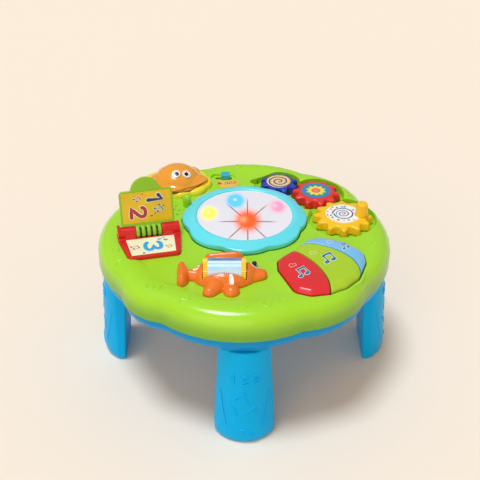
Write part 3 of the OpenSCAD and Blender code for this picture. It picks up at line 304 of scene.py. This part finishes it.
# White disc: a small spiral, a navy ring and coloured dots near the edge
def dottedFilm():
    film = gearFilm["yellow"]
    material, tree = newMaterial("dottedFilm")
    place = objectPlace(tree)
    centred = centredOn(tree, place, film["centre"])
    away, turn = awayFrom(tree, centred), turnRound(tree, centred)
    bands = colourSteps(tree, spiralShare(tree, away, turn, film["pitch"]),
                        [(0.0, "#4C5490"), (0.3, "#FBFBF8"), (0.85, "#C8CCE4")])
    colour = mixColour(tree, softDisc(tree, away, film["spiral"], 0.2), linearColour("#FBFBF8"), bands)
    ring = calculate(tree, "SUBTRACT", away, calculate(tree, "MULTIPLY_ADD", turn, 1.6, film["ring"]))
    ringMask = softDisc(tree, calculate(tree, "ABSOLUTE", ring), 0.75, 0.15)
    colour = mixColour(tree, ringMask, colour, linearColour("#1C4C84"))
    # one dot in each cell of about 5 mm
    cells = addNode(tree, "ShaderNodeTexVoronoi", {"Vector": place, "Scale": 190.0, "Randomness": 0.55},
                    voronoi_dimensions="2D")
    tint = addNode(tree, "ShaderNodeSeparateColor", {0: cells.outputs["Color"]}).outputs[0]
    dots = colourSteps(tree, tint, [(0.0, "#6A4C90"), (0.22, "#F08A3C"), (0.45, "#D43C44"),
                                    (0.65, "#B8CC3C"), (0.85, "#2C7CB8")])
    spot = softDisc(tree, calculate(tree, "MULTIPLY", cells.outputs["Distance"], 5.26), 1.35, 0.15)
    inner, outer = film["dots"]
    zone = calculate(tree, "MULTIPLY", softDisc(tree, away, outer, 0.2),
                     calculate(tree, "SUBTRACT", 1.0, softDisc(tree, away, inner, 0.2)))
    colour = mixColour(tree, calculate(tree, "MULTIPLY", spot, zone), colour, dots)
    return closeMaterial(material, tree, filmShader(tree, colour))


rollerPrint = {
    "axle": (-82, 154),
    # share of a turn where each colour starts
    "bands": [(0.0, "#BCE0F6"), (0.3, "#F4DCE4"), (0.42, "#BCDCF4"), (0.655, "#1C78BC"),
              (0.758, "#DCF8FC"), (0.80, "#A8D8F4"), (0.9, "#C4DCF8")],
}


# Pale film round the roller, with a dark stripe along it that shows at the back
def rollerFilm():
    material, tree = newMaterial("rollerFilm")
    place = objectPlace(tree)
    y, z = rollerPrint["axle"]
    centred = addNode(tree, "ShaderNodeMapping", {
        "Vector": place, "Location": (0, -y, -z), "Scale": (1000, 1000, 1000)}).outputs[0]
    colour = colourSteps(tree, turnRound(tree, centred, "Y", "Z"), rollerPrint["bands"])
    tone = share(tree, noise(tree, place, 60.0, 3.0), 0.35, 0.7, 0.0, 0.35)
    colour = mixColour(tree, tone, colour, linearColour("#E4F4FC"))
    return closeMaterial(material, tree, filmShader(tree, colour))


lensGlow = {
    "squash": 0.62, "strength": 0.28,
    # centre, radius, softness, colour
    "lights": [((-36, 20), 8.0, 4.0, "#FFF24C"), ((-9, 45), 9.6, 3.4, "#58C8FC"),
               ((35, 33), 7.8, 4.2, "#FC96BC"), ((3.5, 5), 12.4, 6.0, "#FF5A14")],
    # painted highlights: a brighter hot spot in each glow
    "hot": [((-37, 21), 1.4, 2.4, "#FFFDD8"), ((-9.5, 47), 1.2, 2.0, "#D8F8FF"),
            ((32, 35), 2.0, 3.0, "#FFC8DC"), ((-1, 7), 2.8, 4.4, "#FFA878")],
    "burst": {"centre": (3.5, 3.0), "rays": 8, "inner": 9.0, "outer": 27.0, "half": 0.55},
}


# Milky polystyrene lens with painted light: the glow of four lamps behind it is painted on as coloured
# discs that also emit
def litLens():
    material, tree = newMaterial("milkyPolystyrene")
    place, squash = objectPlace(tree), lensGlow["squash"]
    drift = noise(tree, place, 22.0, 2.0)
    colour = mixColour(tree, drift, linearColour("#F6F2FC"), linearColour("#EEEEF8"))
    glow = None
    for centre, radius, soft, tint in lensGlow["lights"] + lensGlow["hot"]:
        mask = softDisc(tree, awayFrom(tree, centredOn(tree, place, centre, squash)), radius, soft)
        colour = mixColour(tree, mask, colour, linearColour(tint))
        glow = mask if glow is None else calculate(tree, "MAXIMUM", glow, mask)
    burst = lensGlow["burst"]
    centred = centredOn(tree, place, burst["centre"], squash)
    away = awayFrom(tree, centred)
    side = calculate(tree, "MULTIPLY", turnSaw(tree, centred, burst["rays"]), away)
    across = calculate(tree, "MULTIPLY", side, 2 * math.pi / burst["rays"])
    ray = calculate(tree, "MULTIPLY", softDisc(tree, across, burst["half"], 0.2),
                    softDisc(tree, away, burst["outer"], 5.0))
    ray = calculate(tree, "MULTIPLY", ray,
                    calculate(tree, "SUBTRACT", 1.0, softDisc(tree, away, burst["inner"], 1.5)))
    colour = mixColour(tree, calculate(tree, "MULTIPLY", ray, 0.9), colour, linearColour("#A83C2C"))
    shader = addNode(tree, "ShaderNodeBsdfPrincipled", {
        "Base Color": colour, "Roughness": 0.3, "Emission Color": colour,
        "Emission Strength": calculate(tree, "MULTIPLY", glow, lensGlow["strength"]),
        "Coat Weight": 0.3, "Coat Roughness": 0.1})
    return closeMaterial(material, tree, shader)


# Paper film with faint coloured flecks
def fleckedFilm(name, base, tint, fleck):
    material, tree = newMaterial(name)
    place = objectPlace(tree)
    washed = share(tree, noise(tree, place, 40.0, 2.0), 0.35, 0.65)
    colour = mixColour(tree, washed, linearColour(base), linearColour(tint))
    # one fleck in each cell of about 8 mm
    flecks = addNode(tree, "ShaderNodeTexVoronoi", {"Vector": place, "Scale": 130.0})
    spot = softDisc(tree, calculate(tree, "MULTIPLY", flecks.outputs["Distance"], 7.7), 0.45, 0.1)
    colour = mixColour(tree, calculate(tree, "MULTIPLY", spot, 0.55), colour, linearColour(fleck))
    return closeMaterial(material, tree, filmShader(tree, colour))


pageFilm = fleckedFilm("pageFilm", "#ECC800", "#E0BC00", "#EC9420")
trayFilm = fleckedFilm("trayFilm", "#FFFBD8", "#F4F8CC", "#D0E090")
switchFilm = fleckedFilm("switchFilm", "#F8CC58", "#F4C048", "#FBE08C")
print("printed films made")


# CAD nodes: welded, then creased at their edges or softened as a polished mould leaves them
meshCare = {"weld": 0.02, "cadCrease": 32, "pieceCrease": 40}


def creaseAt(thing, angle):
    crease = thing.modifiers.new("crease", "EDGE_SPLIT")
    crease.split_angle = math.radians(angle)


def dress(nodeName, material, soften=None):
    cad = cadNode[nodeName]
    cad.data.materials.clear()
    cad.data.materials.append(material)
    cad.data.shade_smooth()
    weld = cad.modifiers.new("weld", "WELD")
    weld.merge_threshold = meshCare["weld"] * mm
    if soften:
        skin = cad.modifiers.new("skin", "REMESH")
        skin.mode = "VOXEL"
        skin.voxel_size = soften[0] * mm
        skin.use_smooth_shade = True
        ease = cad.modifiers.new("ease", "SMOOTH")
        ease.factor = 0.5
        ease.iterations = soften[1]
    else:
        creaseAt(cad, meshCare["cadCrease"])


# node: material, voxel in mm and smoothing passes where it is softened
dressing = {
    "top_shell": (shellGreen,), "bottom_pan": (panBlue,), "battery_door": (panBlue,),
    "front_leg": (legBlue, 0.9, 3), "right_leg": (legBlue, 0.9, 3),
    "rear_leg": (legBlue, 0.9, 3), "left_leg": (legBlue, 0.9, 3),
    "drum_ring": (ringCyan, 0.65, 5), "drum_lens": (litLens(),), "light_tray": (innerWhite,),
    "yellow_gear": (gearYellow, 0.7, 20), "red_gear": (gearRed, 0.7, 20),
    "blue_gear": (gearBlue, 0.65, 18), "crank_knob": (gearYellow, 0.35, 4),
    "yellow_gear_label": (dottedFilm(),), "red_gear_label": (flowerFilm(),),
    "blue_gear_label": (spiralFilm(),),
    "red_key": (keyRed, 0.6, 12), "green_key": (keyGreen, 0.6, 12), "blue_key": (keyBlue, 0.6, 12),
    "red_key_pad": (padRubber,), "green_key_pad": (padRubber,), "blue_key_pad": (padRubber,),
    "fish_body": (fishOrange, 0.5, 12), "fish_eye": (eyeBlack,), "roller": (rollerYellow,),
    "roller_label": (rollerFilm(),), "book_base": (bookRed, 0.45, 3), "book_page": (pageLime, 0.4, 2),
    "base_label": (trayFilm,), "page_label": (pageFilm,), "dome_base": (baseYellow, 0.55, 10),
    "dome_button": (domeAmber, 0.5, 3), "dome_eyes": (eyeWhite, 0.25, 3), "dome_pupils": (eyeBlack, 0.2, 2),
    "switch_knob": (knobTeal, 0.3, 3), "switch_label": (switchFilm,), "slide_switch": (blackAbs,),
    "speaker": (blackAbs,), "batteries": (cellSleeve,), "main_board": (boardGreen,),
    "led_board": (boardGreen,), "key_board": (boardGreen,),
}
for nodeName, (material, *soften) in dressing.items():
    dress(nodeName, material, soften)
for nodeName, material in ledEpoxy.items():
    dress(nodeName, material)
for nodeName in ("door_screw", "battery_contacts", "shell_screws", "drum_springs", "gear_washers",
                 "gear_screws", "key_pin", "roller_axle", "book_pin", "dome_spring", "inner_screws"):
    dress(nodeName, steel)
print("CAD nodes dressed")


# Flat shapes, laid on a surface along the frame's own normal
def meshFrom(curve):
    holder = bpy.data.objects.new("holder", curve)
    scene.collection.objects.link(holder)
    drawn = holder.evaluated_get(bpy.context.evaluated_depsgraph_get())
    mesh = bpy.data.meshes.new_from_object(drawn)
    bpy.data.objects.remove(holder)
    return mesh


def lineCurve(points, closed=True):
    curve = bpy.data.curves.new("outline", "CURVE")
    spline = curve.splines.new("POLY")
    spline.points.add(len(points) - 1)
    for point, (x, y) in zip(spline.points, points):
        point.co = (x * mm, y * mm, 0, 1)
    spline.use_cyclic_u = closed
    return curve


# A flat plate inside the outline, grown by a margin
def plate(points, thick, grow=0.0):
    curve = lineCurve(points)
    curve.dimensions = "2D"
    curve.fill_mode = "BOTH"
    curve.extrude = thick * mm / 2
    curve.offset = grow * mm
    return meshFrom(curve)


# A round bead along the line
def bead(points, radius, closed=False):
    curve = lineCurve(points, closed)
    curve.dimensions = "3D"
    curve.bevel_depth = radius * mm
    curve.bevel_resolution = 2
    curve.use_fill_caps = True
    return meshFrom(curve)


# A printed stroke: a bead with round ends, pressed flat
def stroke(points, radius, flat):
    bm = bmesh.new()
    bm.from_mesh(bead(points, radius))
    for x, y in (points[0], points[-1]):
        bmesh.ops.create_uvsphere(bm, u_segments=12, v_segments=8, radius=radius * mm,
                                  matrix=Matrix.Translation((x * mm, y * mm, 0)))
    mesh = bpy.data.meshes.new("stroke")
    bm.to_mesh(mesh)
    bm.free()
    for vertex in mesh.vertices:
        vertex.co.z *= flat
    return mesh


def joined(meshes):
    bm = bmesh.new()
    for mesh in meshes:
        bm.from_mesh(mesh)
    result = bpy.data.meshes.new("joined")
    bm.to_mesh(result)
    bm.free()
    return result


# figures upright in this box round (0, 0), as the lines down the middle of their strokes
figureBox = (10, 17)
figureLines = {
    "1": [(0, -8), (0, 8), (-4.6, 4.2)],
    "2": [(-4.8, 4.6), (-4.2, 6.6), (-2.4, 8.0), (0.2, 8.5), (2.9, 8.0), (4.6, 6.4), (5.0, 4.2),
          (4.2, 1.8), (2.2, -0.8), (-1.2, -4.2), (-4.9, -8), (0.2, -8), (5.2, -8)],
    "3": [(-5.4, 6.4), (-3.4, 8.2), (-0.4, 8.8), (2.9, 8.2), (4.9, 6.2), (5.0, 3.8), (3.4, 1.6),
          (-0.6, 0.5), (3.8, -0.8), (5.8, -3.2), (5.6, -6.0), (3.4, -8.2), (0, -8.8), (-3.6, -8.2),
          (-5.8, -6.2)],
}


def figure(text, high, wide, radius, flat):
    line = [(x * wide / figureBox[0], y * high / figureBox[1]) for x, y in figureLines[text]]
    return stroke(line, radius, flat)


def arcPoints(rx, ry, start, end, steps=16):
    turns = [math.radians(start + (end - start) * k / steps) for k in range(steps + 1)]
    return [(rx * math.cos(turn), ry * math.sin(turn)) for turn in turns]


# An oval of 24 points; the curve that is made of it closes it
def oval(rx, ry, centre=(0, 0), turn=0.0):
    c, n = math.cos(math.radians(turn)), math.sin(math.radians(turn))
    return [(centre[0] + x * c - y * n, centre[1] + x * n + y * c)
            for x, y in arcPoints(rx, ry, 0, 345, 23)]


# a note of size 10: two heads, two stems and a beam, each a plate of its own
noteShape = {
    "heads": [(-2.6, -3.4), (2.9, -2.4)], "head": (1.7, 1.2), "headTurn": 20,
    # left side, foot and top of each stem
    "stems": [(-1.4, -3.2, 3.2), (4.1, -2.2, 4.2)], "stemWide": 0.7,
    "beam": [(-1.4, 3.0), (4.8, 4.1), (4.8, 5.6), (-1.4, 4.5)],
}


def noteMesh(size, thick, grow=0.0):
    shapes = [oval(*noteShape["head"], head, noteShape["headTurn"]) for head in noteShape["heads"]]
    for x, low, high in noteShape["stems"]:
        far = x + noteShape["stemWide"]
        shapes.append([(x, low), (far, low), (far, high), (x, high)])
    shapes.append(noteShape["beam"])
    k = size / 10
    return joined([plate([(x * k, y * k) for x, y in shape], thick, grow) for shape in shapes])


def surfaceFrame(place, across, up):
    x = Vector(across).normalized()
    n = x.cross(Vector(up)).normalized()
    return Matrix.Translation(Vector(place) * mm) @ Matrix((x, n.cross(x), n)).transposed().to_4x4()


# Level, for what is laid on from above; where there is nothing below, a mark stays at this height
def levelFrame(height):
    return surfaceFrame((0, 0, height), (1, 0, 0), (0, 1, 0))


def newPiece(name, mesh, material):
    mesh.materials.clear()
    mesh.materials.append(material)
    mesh.shade_smooth()
    piece = bpy.data.objects.new(name, mesh)
    scene.collection.objects.link(piece)
    return piece


surfaceTrees = {}
rayStart = 40  # above the frame


# A face is a frame, the CAD node under it and the body that it belongs to
def layOn(name, mesh, face, lift, material, at=(0, 0), turn=0.0):
    frameMatrix, nodeName, body = face
    if nodeName not in surfaceTrees:
        graph = bpy.context.evaluated_depsgraph_get()
        surfaceTrees[nodeName] = BVHTree.FromObject(cadNode[nodeName], graph)
    move = Matrix.Translation((at[0] * mm, at[1] * mm, 0))
    spot = frameMatrix @ move @ Matrix.Rotation(math.radians(turn), 4, "Z")
    outward = (frameMatrix.to_3x3() @ Vector((0, 0, 1))).normalized()
    for vertex in mesh.vertices:
        flat = spot @ Vector((vertex.co.x, vertex.co.y, 0))
        hit = surfaceTrees[nodeName].ray_cast(flat + outward * rayStart * mm, -outward)[0]
        vertex.co = (hit or flat) + outward * (vertex.co.z + lift * mm)
    piece = newPiece(name, mesh, material)
    creaseAt(piece, meshCare["pieceCrease"])
    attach(piece, body)


# Book: digits and notes on the page and in the tray
book = {
    "place": (-95.5, -11.6), "turn": 13, "spineHeight": 154, "lean": 12,
    "one": {"at": (8.7, 32.3), "high": 14.4, "wide": 9.6, "bold": 1.9},
    "two": {"at": (-8.9, 20.6), "high": 14.6, "wide": 9.6, "bold": 1.8},
    "three": {"at": (1.0, -24.0), "high": 15.2, "wide": 11.0, "bold": 2.1},
    # white margins, thickness of the film, lift of its lower and upper layer
    "edge": 0.7, "noteEdge": 0.45, "film": 0.12, "under": 0.06, "over": 0.2,
    "slots": 4, "slotPitch": 5.5, "slotHalf": 1.1, "slotRadius": 6.15,
}
bookTurn, leanBack = math.radians(book["turn"]), math.radians(book["lean"])
spineWay = Vector((math.cos(bookTurn), math.sin(bookTurn), 0))
towardPlayer = Vector((spineWay.y, -spineWay.x, 0))
pageUp = Vector((0, 0, 1)) * math.cos(leanBack) - towardPlayer * math.sin(leanBack)
spine = (*book["place"], book["spineHeight"])
pageFrame = surfaceFrame(spine, spineWay, pageUp)
onPage = (pageFrame, "page_label", "page")
onTray = (surfaceFrame(spine, spineWay, -towardPlayer), "base_label", "table")

for name, text, face, ink, slotName in (
        ("one", "1", onPage, inkNavy, "print_olive"), ("two", "2", onPage, inkCrimson, "print_olive"),
        ("three", "3", onTray, inkSky, "print_cream")):
    mark = book[name]
    size = (mark["high"], mark["wide"])
    layOn(name + "Rim", figure(text, *size, mark["bold"] + book["edge"], 0.03), face, 0.1, inkWhite,
          mark["at"], -90)
    layOn(name + "Figure", figure(text, *size, mark["bold"], 0.05), face, 0.24, ink,
          mark["at"], -90)

# piece: face, place, size, turn, ink
bookNotes = {
    "pageNote": (onPage, (11.0, 22.6), 8, -60, inkBlue),
    "pageNoteRed": (onPage, (-9.5, 34.8), 6.5, -50, inkCrimson),
    "trayNotePink": (onTray, (-17.4, -22.5), 8, -70, inkPink),
    "trayNoteOlive": (onTray, (15.6, -27.0), 6, -70, inkOlive),
}
for name, (face, at, size, turn, ink) in bookNotes.items():
    layOn(name + "Rim", noteMesh(size, book["film"], book["noteEdge"]), face, book["under"], inkWhite,
          at, turn)
    layOn(name, noteMesh(size, book["film"]), face, book["over"], ink, at, turn)

# face, place, half length, half width, turn, ink
confetti = [
    (onPage, (12.6, 26.4), 1.2, 0.6, 10, inkNavy), (onPage, (16.6, 25.0), 0.9, 0.7, 0, inkCrimson),
    (onPage, (8.1, 18.0), 1.3, 0.5, 35, inkCrimson), (onPage, (4.2, 15.6), 1.3, 0.6, 15, inkNavy),
    (onPage, (-3.4, 39.2), 0.7, 0.5, 0, inkNavy), (onTray, (8.6, -13.2), 2.2, 1.0, 10, inkSky),
    (onTray, (14.4, -15.4), 2.2, 1.4, -10, inkSky), (onTray, (12.8, -11.0), 1.8, 0.5, -10, inkPink),
    (onTray, (-9.6, -34.6), 1.2, 1.2, 0, inkBlue),
]
for index, (face, at, rx, ry, turn, ink) in enumerate(confetti):
    layOn(f"confetti_{index}", plate(oval(rx, ry), book["film"]), face, book["under"], ink,
          at, turn)
# painted shade: dark rods in the slots between the ribs of the knuckle, standing in for the shade inside
# them
for index in range(book["slots"]):
    middle = (index - (book["slots"] - 1) / 2) * book["slotPitch"]
    ends = [(middle - book["slotHalf"], 0), (middle + book["slotHalf"], 0)]
    rod = bead(ends, book["slotRadius"])
    rod.transform(pageFrame)
    piece = newPiece(f"knuckleSlotShade_{index}", rod, slotShade)
    creaseAt(piece, meshCare["pieceCrease"])
    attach(piece, "page")
print("book printed")


# Dome: the wavy brim with its beak, clear of the base when the dome is pressed
domeBrim = {
    "centre": (-73, 92), "segments": 120, "inner": 21.5, "radius": 27.8,
    "wave": 2.0, "waves": 5, "turn": 97, "beak": 6.4, "beakTurn": -4, "beakWide": 14,
    # share of the way out and height, from the dome over the lip and back under it
    "profile": [(0.0, 161.5), (0.35, 158.9), (0.7, 157.6), (0.93, 157.3), (1.0, 156.8),
                (0.95, 156.2), (0.6, 156.1), (0.0, 158.0)],
}


def brimReach(angle):
    wave = domeBrim["wave"] * math.cos(math.radians(domeBrim["waves"] * (angle + domeBrim["turn"])))
    aside = (angle - domeBrim["beakTurn"] + 180) % 360 - 180
    beak = domeBrim["beak"] * math.exp(-(aside / domeBrim["beakWide"]) ** 2)
    return domeBrim["radius"] + wave + beak


def buildBrim():
    bm = bmesh.new()
    rings = [bmesh.ops.create_circle(bm, segments=domeBrim["segments"], radius=1)["verts"]]
    edges = list(bm.edges)
    for _ in domeBrim["profile"][1:]:
        grown = bmesh.ops.extrude_edge_only(bm, edges=edges)["geom"]
        rings.append([part for part in grown if isinstance(part, bmesh.types.BMVert)])
        # of the new edges, those that lie round the new ring
        edges = [part for part in grown if isinstance(part, bmesh.types.BMEdge)
                 and set(part.verts) <= set(rings[-1])]
    x, y = domeBrim["centre"]
    for (wayOut, height), ring in zip(domeBrim["profile"], rings):
        for vertex in ring:
            angle = math.atan2(vertex.co.y, vertex.co.x)
            reach = domeBrim["inner"] + wayOut * (brimReach(math.degrees(angle)) - domeBrim["inner"])
            vertex.co = Vector((x + reach * math.cos(angle), y + reach * math.sin(angle), height)) * mm
    bmesh.ops.bridge_loops(bm, edges=[edge for edge in bm.edges if edge.is_boundary])
    bmesh.ops.recalc_face_normals(bm, faces=bm.faces)
    mesh = bpy.data.meshes.new("domeBrim")
    bm.to_mesh(mesh)
    bm.free()
    piece = newPiece("domeBrim", mesh, domeAmber)
    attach(piece, "dome")


buildBrim()
print("brim made")


# Keys: a note on each, in blue with a white edge, and a curl in outline
keyMarks = {
    "red_key": {"body": "red_note", "slot": "red_plastic", "at": (53, -87), "size": 14,
                "curlAt": (45.5, -75)},
    "green_key": {"body": "green_note", "slot": "green_key", "at": (79, -64), "size": 15,
                  "curlAt": (66, -54)},
    "blue_key": {"body": "blue_note", "slot": "blue_key", "at": (97, -43), "size": 10,
                 "curlAt": (84, -35)},
}
keyPrint = {
    "height": 150, "thick": 0.16, "turn": 28,
    # end of the name, margin, lift, ink
    "layers": [("NoteRim", 0.7, 0.08, inkWhite), ("Note", 0.15, 0.22, inkBlue)],
    "curl": [(-3, -2.6), (-3.6, 1.2), (-1.4, 3.2), (0.6, 1.4), (3.4, 2.6), (3.0, -1.4), (0.4, -2.0)],
    "curlBead": 0.24, "curlTurn": 20,
}
for node, mark in keyMarks.items():
    onKey = (levelFrame(keyPrint["height"]), node, mark["body"])
    for part, grow, lift, ink in keyPrint["layers"]:
        layOn(node + part, noteMesh(mark["size"], keyPrint["thick"], grow), onKey, lift, ink,
              mark["at"], keyPrint["turn"])
    layOn(node + "Outline", bead(keyPrint["curl"], keyPrint["curlBead"], True), onKey, 0.0, inkWhite,
          mark["curlAt"], keyPrint["curlTurn"])
print("keys marked")


# Fish: two white spots and the ring of the eye
fishMarks = {
    # place, half width, half length, turn
    "spots": [((-45, -80), 2.6, 5.4, -25), ((-12, -99.5), 2.2, 5.0, 8)], "spotThick": 0.3,
    "eye": (9.3, -75.6), "eyeRing": (3.0, 3.3), "eyeBead": 0.75, "height": 155,
}
onFish = (levelFrame(fishMarks["height"]), "fish_body", "table")
for index, (at, rx, ry, turn) in enumerate(fishMarks["spots"]):
    layOn(f"fishSpot_{index}", plate(oval(rx, ry), fishMarks["spotThick"]), onFish, 0.1, inkWhite,
          at, turn)
layOn("eyeRing", bead(oval(*fishMarks["eyeRing"]), fishMarks["eyeBead"], True), onFish, 0.15, eyeWhite,
      fishMarks["eye"])
print("fish marked")


# Switch plate: an arrowhead and three small notes
switchMarks = {
    "arrow": [(-28.6, 92.0), (-23.6, 93.2), (-28.0, 97.6)], "arrowEdge": 0.3,
    "notes": [(-19.5, 94.6), (-15.0, 95.4), (-10.6, 96.2)], "noteSize": 4.6, "noteTurn": 10,
    "film": 0.12, "lift": 0.08, "height": 150,
}
onSwitch = (levelFrame(switchMarks["height"]), "switch_label", "table")
layOn("switchArrow", plate(switchMarks["arrow"], switchMarks["film"], switchMarks["arrowEdge"]), onSwitch,
      switchMarks["lift"], inkScarlet)
for index, at in enumerate(switchMarks["notes"]):
    layOn(f"switchNote_{index}", noteMesh(switchMarks["noteSize"], switchMarks["film"]), onSwitch,
          switchMarks["lift"], inkNavy, at, switchMarks["noteTurn"])
print("switch marked")


# Raised figures on the rim and on the legs
rimMarks = {
    "height": 140, "lift": 0.05,
    "ring": bead(oval(3.6, 3.6), 0.6, True), "arc": bead(arcPoints(5, 5, 20, 160), 0.6),
    "wave": bead([(-5, 0), (-3, 1.6), (-1, 1.4), (1, -1.4), (3, -1.6), (5, 0)], 0.6),
    "places": [("ring", (-87, -100), 0), ("arc", (-73, -104), 35), ("wave", (-54, -120), 25),
               ("ring", (20, -127), 0), ("arc", (34, -124), -10), ("wave", (-2, -130), 0),
               ("arc", (-118, -62), 60), ("ring", (-126, -40), 0), ("wave", (112, 64), 120),
               ("ring", (126, 28), 0), ("arc", (92, 98), 140), ("wave", (20, 131), 0),
               ("ring", (-6, 132), 0), ("arc", (-112, 62), -120), ("ring", (128, -30), 0)],
}
onRim = (levelFrame(rimMarks["height"]), "top_shell", "table")
for index, (kind, at, turn) in enumerate(rimMarks["places"]):
    layOn(f"rimFigure_{index}", rimMarks[kind].copy(), onRim, rimMarks["lift"], shellGreen,
          at, turn)

legMarks = {
    "angles": {"front_leg": -90, "right_leg": 0, "rear_leg": 90, "left_leg": 180}, "reach": 150,
    "digits": {"1": (-10.0, 78), "2": (0.2, 77), "3": (10.6, 77)},
    "digitSize": (9.6, 5.4), "digitBead": 0.8, "digitLift": 0.3,
    "lines": [[(-9.8, 54), (-0.5, 63), (3.6, 52.4), (-9.8, 54)],
              [(-15, 46), (-11.5, 45), (-9, 42.5), (-7.6, 39), (-7.2, 35.4)],
              [(1, 40), (10, 45.4), (15.2, 35.4)],
              [(-4.6, 17), (-2, 18), (0.4, 17.6), (3.4, 15), (6, 11.4), (8.4, 9.8), (12.6, 10.2)],
              [(-23, 58), (-22.4, 52), (-20.6, 36), (-18, 20)],
              [(23, 58), (22.4, 52), (20.6, 36), (18, 20)]],
    "lineBead": 0.7, "lineLift": 0.25,
}
for node, angle in legMarks["angles"].items():
    c, n = math.cos(math.radians(angle)), math.sin(math.radians(angle))
    place = (legMarks["reach"] * c, legMarks["reach"] * n, 0)
    onLeg = (surfaceFrame(place, (-n, c, 0), (0, 0, 1)), node, "table")
    for text, at in legMarks["digits"].items():
        digit = figure(text, *legMarks["digitSize"], legMarks["digitBead"], 1.0)
        layOn(f"{node}Figure{text}", digit, onLeg, legMarks["digitLift"], legBlue, at)
    for index, line in enumerate(legMarks["lines"]):
        layOn(f"{node}Line{index}", bead(line, legMarks["lineBead"]), onLeg, legMarks["lineLift"],
              legBlue)
print("raised figures laid")


# Floor, lights and world
stageLook = {
    "paper": ("#FDEEDD", "#FDECDB"), "floorHalf": 6000, "world": (0.42, 0.35, 0.27),
    # the side that each sun shines from, its width in the sky in degrees
    "suns": {
        "overheadSun": {"from": (-0.22, -0.1, 1.2), "spread": 18, "energy": 2.1,
                        "colour": (0.7, 0.85, 1.0)},
        "frontFill": {"from": (-0.35, -1.0, 0.42), "spread": 60, "energy": 1.0,
                      "colour": (1.0, 0.8, 0.58)}},
}


def buildStage():
    bm = bmesh.new()
    bmesh.ops.create_grid(bm, x_segments=2, y_segments=2, size=stageLook["floorHalf"] * mm)
    mesh = bpy.data.meshes.new("floor")
    bm.to_mesh(mesh)
    bm.free()
    floor = bpy.data.objects.new("floor", mesh)
    scene.collection.objects.link(floor)
    material, tree = newMaterial("peachPaperBackdrop")
    fibre = noise(tree, objectPlace(tree), 900.0, 3.0)
    tint = mixColour(tree, fibre, *(linearColour(tone) for tone in stageLook["paper"]))
    shader = addNode(tree, "ShaderNodeBsdfPrincipled", {
        "Base Color": tint, "Roughness": 0.9, "Specular IOR Level": 0.0})
    mesh.materials.append(closeMaterial(material, tree, shader))


def buildLights():
    for name, sun in stageLook["suns"].items():
        data = bpy.data.lights.new(name, "SUN")
        data.energy = sun["energy"]
        data.color = sun["colour"]
        data.angle = math.radians(sun["spread"])
        lamp = bpy.data.objects.new(name, data)
        scene.collection.objects.link(lamp)
        lamp.location = sun["from"]
        lamp.rotation_euler = (-Vector(sun["from"])).to_track_quat("-Z", "Y").to_euler()
    world = bpy.data.worlds.new("studio")
    scene.world = world
    world.use_nodes = True
    background = world.node_tree.nodes["Background"]
    background.inputs["Color"].default_value = (*stageLook["world"], 1)
    background.inputs["Strength"].default_value = 1.0
    scene.view_settings.view_transform = "Standard"


buildStage()
buildLights()
print("stage and lights ready")
